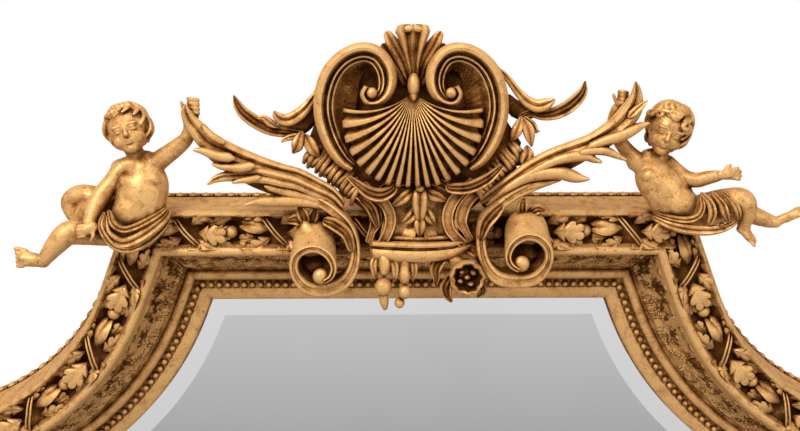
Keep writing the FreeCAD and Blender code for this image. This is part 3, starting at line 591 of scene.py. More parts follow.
class MirrorColours(bpy.types.PropertyGroup):
    """Colours of the finishes."""

    # gilt() spreads these golds by painted shade: bright gold on open faces, then gold, deep gold and patina ever
    # deeper in the hollows, so deep gold and patina stand for shade as well as red clay and old dirt
    gold_bright: bpy.props.FloatVectorProperty(
        name="Bright gold", description="Rubbed high places", subtype="COLOR", size=3, default=(0.88, 0.50, 0.19))
    gold_mid: bpy.props.FloatVectorProperty(
        name="Gold", description="Gold of the broad faces", subtype="COLOR", size=3, default=(0.60, 0.285, 0.09))
    gold_deep: bpy.props.FloatVectorProperty(
        name="Deep gold", description="Red clay that shows through in the hollows", subtype="COLOR", size=3,
        default=(0.24, 0.088, 0.020))
    gold_dark: bpy.props.FloatVectorProperty(
        name="Patina", description="Old dirt in the deepest hollows", subtype="COLOR", size=3,
        default=(0.050, 0.015, 0.004))
    # the grey of the plate stands in for the grey room that the mirror reflects: a painted reflection
    plate: bpy.props.FloatVectorProperty(
        name="Plate", description="Grey of the silvered glass", subtype="COLOR", size=3,
        default=(0.55, 0.55, 0.55))
    floor: bpy.props.FloatVectorProperty(
        name="Floor", description="Colour of the floor", subtype="COLOR", size=3, default=(0.9, 0.9, 0.9))


# the bevel is made this much paler than the plate: a painted reflection
BEVEL_PALER = 1.24
materials = {}


def sizes():
    return bpy.context.scene.mirror_sizes


def finish_named(slot):
    """The material of a slot, made once."""
    if slot in materials:
        return materials[slot]
    c = bpy.context.scene.mirror_colours
    golds = (tuple(c.gold_bright), tuple(c.gold_mid), tuple(c.gold_deep), tuple(c.gold_dark))
    if slot == "gilt_wood":
        made = gilt("gilt_wood", golds)
    elif slot == "gilt_figure":
        made = gilt("gilt_figure", golds, rough=(0.34, 0.5), grain_bump=0.15, stops=(0.13, 0.41, 0.77, 1.0))
    elif slot == "gilt_painted_shade":
        # the same gilt over darker stops for the ground in hollows and behind the carving: painted shade
        between = tuple((a + b) / 2 for a, b in zip(golds[2], golds[3]))
        ground = (golds[1], golds[2], between, golds[3])
        made = gilt("gilt_painted_shade", ground, metallic=0.2, stops=(0.34, 0.70, 0.94, 1.0))
    elif slot == "mirror_plate":
        # the plate carries a painted reflection: its grey, darker towards the bottom
        made = silvered("mirror_plate", tuple(c.plate), 1.44, 1.64, 0.68)
    elif slot == "mirror_bevel":
        # the bevel finish is the plate made paler: a painted reflection
        made = silvered("mirror_bevel", tuple(min(1.0, v * BEVEL_PALER) for v in c.plate), 1.36, 1.66, 0.86)
    elif slot == "pine":
        made = plain_finish("pine", (0.42, 0.26, 0.13), (0.62, 0.43, 0.24), 0.0, 0.6, 0.006, 0.001, (1, 1, 0.08))
    elif slot == "brass":
        made = plain_finish("brass", (0.50, 0.34, 0.12), (0.74, 0.55, 0.24), 1.0, 0.28, 0.008, 0.0006)
    else:
        made = plain_finish("iron", (0.10, 0.09, 0.085), (0.24, 0.22, 0.20), 0.9, 0.5, 0.004, 0.0006)
    materials[slot] = made
    return made


# ================= pieces =================
def new_object(name, form):
    bpy.ops.object.select_all(action="DESELECT")
    mesh = bpy.data.meshes.new(name)
    points = form.all_points() * MM
    points[:, 1] *= -1
    mesh.from_pydata(points.tolist(), [], form.faces)
    mesh.polygons.foreach_set("material_index", form.tints)
    mesh.update()
    made = bpy.data.objects.new(name, mesh)
    bpy.context.scene.collection.objects.link(made)
    made.select_set(True)
    bpy.context.view_layer.objects.active = made
    return made


def use(made, kind, **values):
    """Adds a modifier to a piece and applies it."""
    bpy.context.view_layer.objects.active = made
    modifier = made.modifiers.new(kind.lower(), kind)
    for key, value in values.items():
        setattr(modifier, key, value)
    bpy.ops.object.modifier_apply(modifier=modifier.name)


BARE_BACKS = ("carcass", "cornice")      # their backs are bare wood
FACES_WALL = 0.9                         # least share towards the wall of a face of the back


# by default the second finish, of tint 1, is the darker gilt of painted shade
def done(made, node_name, finish="gilt_wood", slot="gilt_wood", angle=40, second="gilt_painted_shade"):
    """Shades a finished piece, gives it its finish and puts it in place of its CAD node."""
    bpy.ops.object.select_all(action="DESELECT")
    made.select_set(True)
    bpy.context.view_layer.objects.active = made
    bpy.ops.object.shade_smooth_by_angle(angle=math.radians(angle))
    tints = np.zeros(len(made.data.polygons), int)
    made.data.polygons.foreach_get("material_index", tints)
    if node_name.startswith(BARE_BACKS):
        normals = np.zeros(3 * len(tints))
        made.data.polygons.foreach_get("normal", normals)
        tints[normals[1::3] > FACES_WALL] = 2
    made.data.materials.clear()
    for kind in (finish, second, "pine")[:tints.max() + 1]:
        made.data.materials.append(finish_named(kind))
    made.data.polygons.foreach_set("material_index", tints)
    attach(made, "mirror")
    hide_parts(node_name)
    return made


def piece(node_name, form, **values):
    return done(new_object(node_name + "_carved", form), node_name, **values)


def pair(node_name, form, **values):
    """A right-hand piece and its mirror image on the left."""
    piece(node_name + "_right", form, **values)
    piece(node_name + "_left", mirrored_form(form), **values)


RUNS = ("top", "shoulder", "stile", "base")
SHOULDER_STATIONS = 40


def each_run(name, build, **values):
    for run in RUNS:
        form = build(run)
        if run in ("shoulder", "stile"):
            pair(name + "_" + run, form, **values)
        else:
            piece(name + "_" + run, form, **values)


def swept(form, run, profile, dark):
    """A moulding: closed profile of (inset, depth) along a run, cut at its mitres; dark lists its columns painted
    dark as shade.
    """
    count = SHOULDER_STATIONS if run == "shoulder" else 2
    columns = [[(x, depth, z) for x, z in run_points(run, inset, count)] for inset, depth in profile]
    tube(form, np.array(columns).transpose(1, 0, 2), [1 if j in dark else 0 for j in range(len(profile))])


def station_count(run, step):
    return max(2, int(run_length(run, HOLLOW_MIDDLE) / step))


def frame_at(run, inset, distance):
    """Point and the directions along, inwards and out, as vectors (x, depth, z)."""
    x, z, wx, wz = locate(run, inset, distance)
    return np.array([x, 0, z]), np.array([wx, 0, wz]), np.array([wz, 0, -wx]), np.array([0.0, 1.0, 0.0])


# ---- cornice: egg edge, cove and lip ----
EGG_INSET = -13.5
EGG_MIDDLE = 29.0
EGG_HALF = (6.6, 4.4, 8.2)   # along, across, front to back
EGG_DRAWN = 16.5             # pitch for which an egg has that length
DART_HALF = (1.2, 3.4, 8)


def cornice(run):
    form = Form()
    profile = [(SEAM_INSET, 0), (RIM_INSET, 0), (RIM_INSET, 9), (-13.5, 10.5), (-15, 12), (-14, 14.5)]
    profile += [(-11.6, 17), (-10.6, 20), (-10.4, 29), (-10.8, 36.4)]
    profile += arc((-12.6, 38), (-5.6, 67), (-3.4, 94), 13)
    profile += [(-3.4, 94), (-3.6, 96), (-2.4, 99.5), (-0.8, 102.6), (1, 104.2), (2.6, 104), (3.8, 102.2)]
    profile += [(4.2, 99.2), (5.4, 96.4)]
    last = len(profile)
    profile += [(inset, hollow_depth(inset)) for inset in (7, 8.5, SEAM_INSET)]
    # the wall behind the eggs and the edge of the hollow are painted dark as shade
    swept(form, run, profile, [6, 7, 8] + list(range(last - 1, len(profile))))
    length = run_length(run, EGG_INSET)
    count = int(length / (sizes().egg_pitch / MM))
    for index in range(count):
        distance = (index + 0.5) * length / count
        place, along, inward, out = frame_at(run, EGG_INSET, distance)
        half = (EGG_HALF[0] * length / count / EGG_DRAWN, EGG_HALF[1], EGG_HALF[2])
        ball(form, place + out * EGG_MIDDLE, half, 8, 6, (along, inward, out))
        place, along, inward, out = frame_at(run, EGG_INSET + 0.5, distance + length / count / 2)
        if index < count - 1:
            ball(form, place + out * EGG_MIDDLE, DART_HALF, 5, 4, (along, inward, out))
    return form


# ---- carcass: hollow ground and rounded fillet ----
def carcass(run):
    form = Form()
    profile = [(SEAM_INSET, RECESS), (SEAM_INSET, hollow_depth(SEAM_INSET))]
    profile += [(inset, hollow_depth(inset)) for inset in (12, 15, 18, 21, 24, 27, 30, 33, 36, 38.5, 41)]
    profile += [(43, 96.6), (43.6, 98.8), (44.6, 100.4), (46.6, 101.6), (49.5, 101.9), (52, 101.2), (54, 99.6)]
    profile += [(54.8, 97.8), (FILLET_END, 95.6), (FILLET_END, RECESS)]
    # the hollow under the garland is painted dark as shade
    swept(form, run, profile, range(0, 12))
    return form


# ---- frieze relief: scrolls, rosettes and leaves in a repeat ----
FRIEZE_REPEAT = 118.0
FRIEZE_SLOPE = 61.0          # width of the frieze along its slope


def ridge(u, v, points, width, height):
    """Height of a rounded ridge along a line of points, over the grid u, v."""
    near = np.full(u.shape, 1e9)
    for (ax, ay), (bx, by) in zip(points, points[1:]):
        dx, dy = bx - ax, by - ay
        t = np.clip(((u - ax) * dx + (v - ay) * dy) / (dx * dx + dy * dy + 1e-9), 0, 1)
        near = np.minimum(near, np.hypot(u - ax - t * dx, v - ay - t * dy))
    return height * np.clip(1.25 * (1 - (near / width / 1.25) ** 2), 0, 1)


SPIRAL_STEPS = 26


def spiral(cx, cy, radius, start, turns, shrink):
    """Points of a spiral from an angle in degrees, over a number of turns."""
    points = []
    for k in range(SPIRAL_STEPS + 1):
        reach = radius * (1 - shrink * k / SPIRAL_STEPS)
        angle = math.radians(start) + turns * 2 * math.pi * k / SPIRAL_STEPS
        points.append((cx + reach * math.cos(angle), cy + reach * math.sin(angle)))
    return points


# the repeat of the frieze: stems (points, half width, height), rosettes and leaves
FRIEZE_LINES = (
    (spiral(34, 26, 24, 185, -0.6, 0.15), 4.2, 0.95),
    (spiral(19, 32, 9, 0, 0.9, 0.75), 3.4, 0.9),
    (spiral(92, 36, 18, -30, 1.2, 0.8), 3.8, 0.9),
    (spiral(64, 19, 9, 120, -1.0, 0.7), 3.4, 0.85),
    ([(0, 50), (16, 54), (34, 53), (50, 45), (62, 34)], 3.8, 0.85),
    ([(60, 34), (72, 24), (88, 13), (106, 14)], 3.4, 0.8),
    ([(98, 56), (108, 50), (118, 50)], 3.8, 0.8),
    ([(0, 10), (10, 8), (18, 13)], 3.4, 0.8),
)
ROSETTES = ((44, 26, 12, 6), (92, 36, 9.5, 5), (5, 31, 9.5, 5), (68, 52, 9, 5), (112, 32, 7, 5))
FRIEZE_LEAVES = ((14, 45, 20, 19), (52, 46, -35, 17), (82, 55, 5, 17), (104, 24, 60, 15), (32, 9, 0, 20),
                 (60, 8, 20, 17), (84, 22, -35, 16), (76, 40, 60, 14), (26, 40, 60, 12))


def frieze_relief(u, v):
    """Relief height, 0 to 1, over distance u along the frame and v down the slope, in mm."""
    u = np.mod(u, FRIEZE_REPEAT)
    high = 0.05 * (np.sin(u * 1.7) * np.sin(v * 1.6) + 1) / 2
    for points, width, height in FRIEZE_LINES:
        high = np.maximum(high, ridge(u, v, points, width, height))
    for cx, cy, radius, petals in ROSETTES:
        away = np.hypot(u - cx, v - cy)
        turn = np.arctan2(v - cy, u - cx)
        petal = np.clip(1 - away / (radius * (0.76 + 0.24 * np.cos(petals * turn))), 0, 1)
        high = np.maximum(high, np.minimum(petal * 2.0, 0.9) - 0.5 * np.exp(-((away - radius * 0.3) / 1.2) ** 2))
    for cx, cy, angle, length in FRIEZE_LEAVES:
        ca, sa = math.cos(math.radians(angle)), math.sin(math.radians(angle))
        along = (u - cx) * ca + (v - cy) * sa
        across = -(u - cx) * sa + (v - cy) * ca
        shape = 1 - (along / length * 2) ** 2 - (across / 4.8) ** 2
        vein = 0.35 * np.exp(-(across / 1.1) ** 2)
        high = np.maximum(high, np.clip(shape * 1.5, 0, 1) * 0.85 - vein)
    edge = np.minimum(v, FRIEZE_SLOPE - v) / 4
    return high * np.clip(edge, 0, 1)


BEAD_INSET = 104.6
BEAD_DEPTH = 41.0


def sight(run):
    form = Form()
    slope_end = (FRIEZE_END - 2.2, ROUND_DEPTH + 3.4)
    bend = arc((FILLET_END + 0.6, FRIEZE_START - 1), (FILLET_END + 12, 60), slope_end, 42)
    start = [(FILLET_END, RECESS), (FILLET_END, FRIEZE_START)]
    rest = [(FRIEZE_END - 1.4, ROUND_DEPTH + 2.6), (FRIEZE_END - 0.4, ROUND_DEPTH + 2.8)]
    rest += arc((FRIEZE_END + 0.2, ROUND_DEPTH + 3.2), ((FRIEZE_END + ROUND_END) / 2, ROUND_DEPTH + 7),
                (ROUND_END - 0.6, ROUND_DEPTH + 0.4), 12)
    for edge, depth, steps in ((ROUND_END, ROUND_DEPTH, ((-0.4, -0.4), (1, -0.9))),
                               (CHANNEL_END, ROUND_DEPTH, ((-1.4, -0.9), (-0.6, -0.3), (0, 0), (1, 0.2))),
                               (SIGHT_EDGE, SIGHT_DEPTH, ((-3, 0.4), (-1, -0.6), (0, -2.4)))):
        rest += [(edge + across, depth + out) for across, out in steps]
    rest += [(SIGHT_EDGE, GLASS_FRONT), (REBATE_INSET, GLASS_FRONT), (REBATE_INSET, RECESS)]
    profile = start + bend + rest
    count = station_count(run, sizes().frieze_step / MM)
    columns = np.array([[(x, depth, z) for x, z in run_points(run, inset, count)] for inset, depth in profile])
    along = np.linspace(0, run_length(run, FILLET_END + 10), count)
    height = sizes().frieze_height / MM
    for k in range(len(start), len(start) + len(bend)):
        share = (k - len(start)) / len(bend)
        high = frieze_relief(along, np.full(count, share * FRIEZE_SLOPE)) * height
        way = np.gradient(columns[k], axis=0)
        way /= np.linalg.norm(way, axis=1)[:, None] + 1e-9
        up = columns[k - 1] - columns[k + 1]
        across = up - (up * way).sum(1)[:, None] * way
        across /= np.linalg.norm(across, axis=1)[:, None] + 1e-9
        normal = np.cross(way, across)
        normal *= np.sign(normal[:, 1])[:, None]
        fade = np.clip(np.minimum(along, along[-1] - along) / 3, 0, 1)
        columns[k] += normal * (high * fade)[:, None]
    tube(form, columns.transpose(1, 0, 2))
    length = run_length(run, BEAD_INSET)
    beads = int(length / (sizes().bead_pitch / MM))
    radius = sizes().bead_size / MM / 2
    for index in range(beads):
        place, way, inward, out = frame_at(run, BEAD_INSET, (index + 0.5) * length / beads)
        ball(form, place + out * (BEAD_DEPTH - 1.5), (radius, radius, radius), 8, 5, (way, inward, out))
    return form


# ---- garland of oak leaves and acorns in the hollow ----
HOLLOW_FLOOR = 85.0
ACORN_RADIUS = 8.2
LEAF_STEPS = 17
LEAF_COLUMNS = 9
REPEAT_DRAWN = 120.0         # length of the repeat that the leaf table is laid out for
REPEAT_SHARE = 0.96
CORE, SOFT = 14, 9           # across the hollow the garland keeps its shape to 14 mm, then closes up over 9
LIFT = 0.4                   # clear height over the ground


def oak_leaf(form, base, way, side, out, length, width, lobes=3, rise=7.0, curl=3.0, thick=1.8, cup=1.3):
    """A lobed leaf from its base along way; side is across and out is up from the ground."""
    front = np.zeros((LEAF_STEPS, LEAF_COLUMNS, 3))
    back = np.zeros_like(front)
    for i in range(LEAF_STEPS):
        share = i / (LEAF_STEPS - 1)
        envelope = math.sin(math.pi * (0.06 + 0.88 * share ** 0.9)) ** 0.65
        notch = (lobes * share + 0.12) % 1.0
        lobe = 0.50 + 0.50 * math.sin(math.pi * min(1.0, notch * 1.12) * 0.62) / 0.93 if lobes else 1.0
        half = width / 2 * envelope * lobe
        arch = rise * math.sin(math.pi * 0.5 * min(1, share * 1.5)) - curl * share ** 3
        for j in range(LEAF_COLUMNS):
            a = j / (LEAF_COLUMNS - 1) * 2 - 1
            sweep = abs(a) * length * 0.16 * lobe
            dome = cup * (1 - a * a) ** 0.5 * envelope - 2.2 * math.exp(-(a / 0.15) ** 2) * (1 - 0.8 * share)
            vein = -1.7 * math.exp(-((notch + abs(a) * 0.3 - 0.12) / 0.13) ** 2) * min(1.0, abs(a) * 1.6)
            turned = 2.4 * a * a * (0.4 if lobes else 1.0)
            spot = base + way * (share * length + sweep) + side * a * half
            front[i, j] = spot + out * (arch + dome + (vein if lobes else 0.0) - turned)
            back[i, j] = spot + out * (arch - turned - thick * (1 - 0.6 * abs(a)) - 0.5)
    slab(form, front, back)


# ground under the garland: (across, depth)
GROUND = (
    (-27, 101), (-25, 104.6), (-22, 105.2), (-20, 103.5), (-19, 99), (-15, 91.6), (-10, 87.6), (0, 85.4),
    (10, 87.6), (15, 91.6), (19, 98), (20, 100.8), (22, 102), (26, 102.4), (30, 101.5),
)
# leaves of one repeat: along, across, angle, length, width (in leaf lengths), lobes, rise, height, tilt, curl
FAN = [
    (14, 1, 0, 1, 0.78, 3, 7, 14, 0, 3), (9, 10, 34, 0.98, 0.7, 3, 6, 12, 18, 3),
    (5, -9, -34, 0.98, 0.7, 3, 6, 12, -18, 3), (27, 9, 24, 0.8, 0.62, 3, 4, 8, 14, 2),
    (27, -8, -24, 0.8, 0.62, 3, 4, 8, -14, 2), (31, 0, 4, 0.72, 0.6, 2, 4, 7, 0, 2),
    (3, 16, 66, 0.55, 0.55, 2, 3, 13, 24, 2), (-4, -16, -66, 0.55, 0.55, 2, 3, 13, -24, 2),
    (-10, -3, 186, 1.05, 0.66, 0, 8, 9, -26, 9), (-10, 9, 158, 0.85, 0.66, 3, 6, 9, 20, 3),
    (-14, -13, 212, 0.72, 0.55, 2, 4, 11, -26, 3), (-24, 13, 128, 0.5, 0.5, 2, 3, 11, 22, 2),
    (-30, -14, 232, 0.5, 0.5, 2, 3, 11, -22, 2), (-30, 8, 172, 0.6, 0.5, 2, 3, 6, 10, 2),
    (44, 15, 30, 0.5, 0.42, 2, 2.5, 9, 26, 2), (42, -15, -24, 0.5, 0.42, 2, 2.5, 9, -26, 2),
    (20, -18, -90, 0.42, 0.5, 2, 2, 15, -20, 2), (24, 19, 90, 0.42, 0.5, 2, 2, 15, 20, 2),
    (-40, 17, 96, 0.42, 0.5, 2, 2, 13, 20, 2), (-44, -17, 268, 0.42, 0.5, 2, 2, 13, -20, 2),
]


def garland_unit(form, middle, pitch, draw):
    """One acorn with its twig, two fans of leaves and the long stems that cross between them."""
    scale = pitch / REPEAT_DRAWN
    way, inward, out = np.eye(3)

    def at(along, across, up):
        return np.array([middle + along * scale, across, HOLLOW_FLOOR + up])

    def leaf(along, across, angle, length, width, lobes, rise, up, tilt, curl):
        turn = math.radians(angle + draw.uniform(-6, 6))
        ahead = way * math.cos(turn) + inward * math.sin(turn)
        side = -way * math.sin(turn) + inward * math.cos(turn)
        lean = math.radians(tilt + draw.uniform(-8, 8))
        side_leaned = side * math.cos(lean) + out * math.sin(lean)
        out_leaned = out * math.cos(lean) - side * math.sin(lean)
        grown = draw.uniform(0.93, 1.07)
        base = at(along, across, up)
        oak_leaf(form, base, ahead, side_leaned, out_leaned, length * grown, width * grown, lobes, rise, curl)

    size = sizes().leaf_length / MM
    for along, across, angle, long, wide, lobes, rise, up, tilt, curl in FAN:
        leaf(along, across, angle, size * long, size * wide, lobes, rise, up, tilt, curl)
    for shift in (-2.2, 2.2):
        stem = ((-18, -18, 14), (-10, -9, 20), (-2, 0, 22), (7, 9, 20), (15, 18, 14))
        rod(form, [(*at(along + shift, across - shift * 0.4, up), 1.3) for along, across, up in stem], 2)
    acorn = at(60, draw.uniform(-2, 2), 8.5)
    ball(form, acorn, (ACORN_RADIUS,) * 3, 14, 9, (way, inward, out))
    for angle, reach in ((152, 19), (208, 17)):
        turn = math.radians(angle)
        ahead = way * math.cos(turn) + inward * math.sin(turn)
        side = -way * math.sin(turn) + inward * math.cos(turn)
        oak_leaf(form, acorn - out * 6 + ahead * 7, ahead, side, out, reach, 10, 2, 3.0, 1.0, 1.6, 1.0)
    twig = ((52, -3, 6, 1.7), (42, -5, 8, 1.6), (30, -3, 8, 1.5), (18, 4, 9, 1.3))
    rod(form, [(*at(*spot), radius) for *spot, radius in twig], 2)


def garland(run):
    """Oak leaves and acorns, laid out straight and then bent along the hollow."""
    form = Form()
    length = run_length(run, HOLLOW_MIDDLE)
    count = max(1, round(length / (sizes().garland_pitch / MM)))
    draw = random.Random(run)
    for index in range(count):
        garland_unit(form, (index + 0.5) * length / count, length / count * REPEAT_SHARE, draw)
    spots = np.arange(0.0, length + 2, 2.0)
    frames = np.array([np.concatenate(frame_at(run, HOLLOW_MIDDLE, spot)[:3]) for spot in spots])
    flat = form.all_points()
    reach = np.abs(flat[:, 1])
    flat[:, 1] = np.sign(flat[:, 1]) * np.where(reach > CORE, CORE + SOFT * np.tanh((reach - CORE) / SOFT), reach)
    ground = np.interp(flat[:, 1], *zip(*GROUND))
    high = flat[:, 2]
    sunk = ground + LIFT - 1.6 * np.tanh((ground + LIFT - high) / 6)
    flat[:, 2] = np.where(high < ground + LIFT, sunk, high)
    columns = [np.interp(flat[:, 0], spots, frames[:, k]) for k in range(9)]
    place, inward = np.stack(columns[:3], 1), np.stack(columns[6:], 1)
    form.points = [place + inward * flat[:, 1:2] + np.array([0, 1.0, 0]) * flat[:, 2:3]]
    return form


# ---- crest ----
SHELL_HINGE = (2.0, 120.0, 1936.0)
SHELL_RIBS = 19
SHELL_SPREAD = math.radians(154)
SHELL_LENGTH = 107


def shell_form():
    form = Form()
    columns, steps = SHELL_RIBS * 12 + 1, 26
    front = np.zeros((columns, steps, 3))
    back = np.zeros_like(front)
    for i in range(columns):
        share = i / (columns - 1) * 2 - 1
        turn = (0.75 * share + 0.25 * share ** 3) * SHELL_SPREAD / 2
        rib = min(1.0, max(0.0, 0.86 + 1.1 * math.cos(i * math.pi / 6)))
        length = SHELL_LENGTH - 27 * abs(share) ** 1.6 + 8 * abs(share * (1 - abs(share)) * 4)
        length += 5.5 * rib
        for j in range(steps):
            out = j / (steps - 1)
            reach = length * (0.04 + 0.96 * out)
            angle = turn * (0.62 + 0.38 * out ** 0.9)
            belly = 26 * math.sin(math.pi * min(1, 0.12 + out * 0.78)) + 6 * out
            height = 8.0 * min(1, out * 1.5) ** 0.8 * rib - 4.0
            x = SHELL_HINGE[0] + reach * math.sin(angle)
            z = SHELL_HINGE[2] - reach * math.cos(angle)
            front[i, j] = (x, SHELL_HINGE[1] + belly + height, z)
            back[i, j] = (x, SHELL_HINGE[1] + belly - 8.5, z)
    slab(form, front, back)
    return form


# C-scroll of the crest, right side: (x, depth, z, size, reach of the dish)
C_SCROLL = [
    (72, 126, 1844, 0.6, 4), (84, 129, 1853, 0.85, 10), (97, 131, 1872, 1, 18), (106, 132, 1896, 1.05, 24),
    (109, 133, 1918, 1.05, 27), (106, 134, 1940, 1.05, 27), (98, 134, 1960, 1.05, 25), (85, 134, 1975, 1, 21),
    (69, 134, 1984, 1, 16), (53, 133, 1986, 1, 12), (38, 134, 1980, 1, 8), (28, 135, 1966, 1, 5),
    (25, 136, 1950, 0.95, 4), (29, 138, 1935, 0.8, 3), (39, 140, 1925, 0.65, 3), (51, 141, 1924, 0.55, 3),
    (57, 143, 1933, 0.5, 3), (53, 144, 1942, 0.45, 3),
]
# (distance inwards, height) of its section: rim, grooves, two more ridges, then the dish
SCROLL_SECTION = [
    (-7, -14), (-8.5, -6), (-8, 0), (-5.5, 5), (-2, 7.6), (1.5, 6.6), (3.6, 2), (4.8, -2.2), (6.2, -1.6),
    (7.8, 2.6), (9.4, 1.8), (10.2, -3), (11.4, -3.6), (13, -0.6), (14.6, -1.6),
]
DISH = ((0.2, -7.5), (0.45, -10.5), (0.75, -11.5), (1.0, -10))


def c_scroll_form():
    form = Form()
    path = eased(C_SCROLL, 7)
    centre = path[:, :3]
    ways = gradient_ways(centre)
    rings = []
    for k, (size, dish) in enumerate(path[:, 3:]):
        inward = unit(np.cross(ways[k], np.array([0, 1.0, 0])))
        lift = np.cross(inward, ways[k])
        ring = [centre[k] + inward * across * size + lift * high * size for across, high in SCROLL_SECTION]
        last = SCROLL_SECTION[-1][0] * size
        for index, (share, high) in enumerate(DISH):
            rough = 1.1 * math.sin(k * 1.9 + index * 2.3) * (dish > 8)
            ring.append(centre[k] + inward * (last + dish * share) + lift * (high * size + rough))
        ring.append(centre[k] + inward * (last + dish) + lift * -15 * size)
        ring.append(centre[k] + inward * last * 0.5 + lift * -18 * size)
        rings.append(ring)
    # the dish inside the scroll is painted dark as shade
    tube(form, rings, [1 if 14 <= j <= 18 else 0 for j in range(21)])
    ball(form, (47, 144, 1935), (6.5, 6.5, 6.5), 14, 9)
    return form


def finial_form():
    form = Form()
    stem = [(4, 119, 1940, 4), (4, 122, 1952, 4.5), (3, 124, 1966, 7), (2, 126, 1982, 11.5), (2, 128, 1997, 17),
            (2, 129, 2007, 20.5), (2, 128, 2013, 19)]
    band(form, stem, ACANTHUS, 4, 1.0, tip=0.12)
    rod(form, [(-17, 126, 2006, 3), (-6, 133, 2010, 4.5), (9, 133, 2010, 4.5), (20, 126, 2006, 3)], 4)
    for side in (-1, 1):
        for leaf in (((5, 116, 1952, 3.5), (12, 120, 1970, 5), (22, 122, 1988, 6), (32, 120, 2006, 3)),
                     ((8, 113, 1946, 4), (16, 117, 1963, 5), (26, 118, 1979, 5.5), (37, 116, 1992, 2.5))):
            band(form, [(3 + side * away, *rest) for away, *rest in leaf], LEAF, 6, 1.2, grow=1.6)
    # the ground behind the palmette is painted dark as shade
    ground = [(-14, 110, 1944, 9), (0, 110, 1960, 14), (2, 110, 1984, 22), (2, 110, 1994, 20)]
    band(form, ground, RIDGE, 3, 0.4, tints=DARK)
    ball(form, (3, 128, 1944), (7.5, 9, 15), 14, 10)
    ball(form, (3, 128, 1930), (5.5, 7, 8), 10, 6)
    return form


TENDRIL_LEFT = [
    [(-107, 112, 1948, 2.5), (-118, 114, 1929, 5), (-129, 117, 1915, 7), (-142, 119, 1905, 8),
     (-153, 121, 1902, 7.5), (-161, 124, 1906, 6), (-164, 126, 1911, 3.5)],
    [(-135, 110, 1884, 5), (-155, 112, 1887, 6.5), (-170, 114, 1890, 7.5), (-183, 116, 1896, 8),
     (-195, 118, 1904, 8), (-204, 120, 1912, 7), (-210, 122, 1922, 5), (-213, 124, 1931, 1.5)],
    [(-164, 120, 1895, 3.5), (-171, 121, 1899, 5), (-178, 123, 1905, 3.5), (-185, 124, 1905, 1.5)],
    [(-136, 116, 1883, 3), (-147, 117, 1881, 4), (-155, 119, 1878, 2.5), (-157, 120, 1875, 1)],
]
TENDRIL_RIGHT = [
    [(104, 110, 1966, 2), (117, 112, 1953, 4), (130, 115, 1936, 5), (142, 118, 1924, 7), (154, 120, 1919, 8),
     (165, 123, 1922, 7), (172, 126, 1926, 3)],
    [(135, 110, 1906, 4), (147, 110, 1910, 5), (162, 112, 1908, 7), (176, 115, 1910, 8), (189, 117, 1916, 8.5),
     (200, 119, 1925, 8), (208, 122, 1936, 6), (210, 124, 1948, 1.5)],
    [(140, 114, 1904, 3), (148, 115, 1896, 5), (153, 117, 1889, 3.5), (157, 118, 1888, 1)],
]
TENDRIL_GROUND_LEFT = [(-112, 106, 1925, 5), (-126, 107, 1905, 12), (-142, 108, 1893, 12), (-160, 109, 1896, 5)]
TENDRIL_GROUND_RIGHT = [(118, 106, 1930, 5), (130, 107, 1915, 11), (146, 108, 1912, 10), (160, 109, 1914, 4)]


def tendril_form(blades, ground):
    form = Form()
    for index, rows in enumerate(blades):
        band(form, rows, ACANTHUS if index == 1 else LEAF, 6, 1.1, tip=0.8)
    # the ground behind the tendrils is painted dark as shade
    band(form, ground, RIDGE, 4, 0.5, tints=DARK)
    return form


SPRAY_LEFT = [
    [(-87, 116, 1802, 5), (-99, 119, 1815, 5.5), (-120, 122, 1827, 6), (-138, 125, 1836, 6.5),
     (-157, 128, 1841, 7), (-181, 131, 1848, 8.5), (-205, 134, 1857, 9.5), (-222, 137, 1865, 10),
     (-240, 140, 1875, 10), (-253, 143, 1890, 9), (-262, 146, 1902, 7), (-266, 149, 1913, 5),
     (-266, 152, 1920, 2)],
    [(-87, 118, 1793, 5), (-99, 122, 1806, 5.5), (-120, 125, 1816, 6), (-138, 129, 1825, 6.5),
     (-156, 132, 1830, 7.5), (-181, 136, 1836, 7.5), (-204, 139, 1837, 6.5), (-222, 143, 1836, 5),
     (-234, 146, 1833, 3.5), (-242, 150, 1828, 1.5)],
    [(-185, 140, 1834, 3.5), (-194, 142, 1832, 4), (-204, 144, 1831, 3), (-213, 146, 1829, 1.5)],
    [(-96, 118, 1797, 5), (-121, 122, 1806, 6), (-139, 125, 1811, 6.5), (-157, 129, 1816, 5.5),
     (-169, 132, 1820, 4), (-176, 136, 1823, 1.5)],
    [(-102, 120, 1795, 4.5), (-121, 123, 1800, 5.5), (-139, 127, 1803, 6), (-157, 130, 1804, 6),
     (-175, 133, 1804, 5.5), (-188, 137, 1804, 3.5), (-200, 140, 1801, 1.5)],
    [(-193, 146, 1848, 4.5), (-206, 147, 1846, 4.5), (-217, 148, 1847, 4), (-227, 149, 1848, 3),
     (-236, 150, 1851, 1.5)],
    [(-217, 148, 1858, 5), (-229, 149, 1860, 5), (-238, 150, 1863, 4.5), (-248, 151, 1867, 3.5),
     (-257, 152, 1868, 1.5)],
    [(-226, 148, 1878, 3.5), (-236, 149, 1884, 3.5), (-243, 149, 1891, 3), (-246, 150, 1895, 1.5)],
]
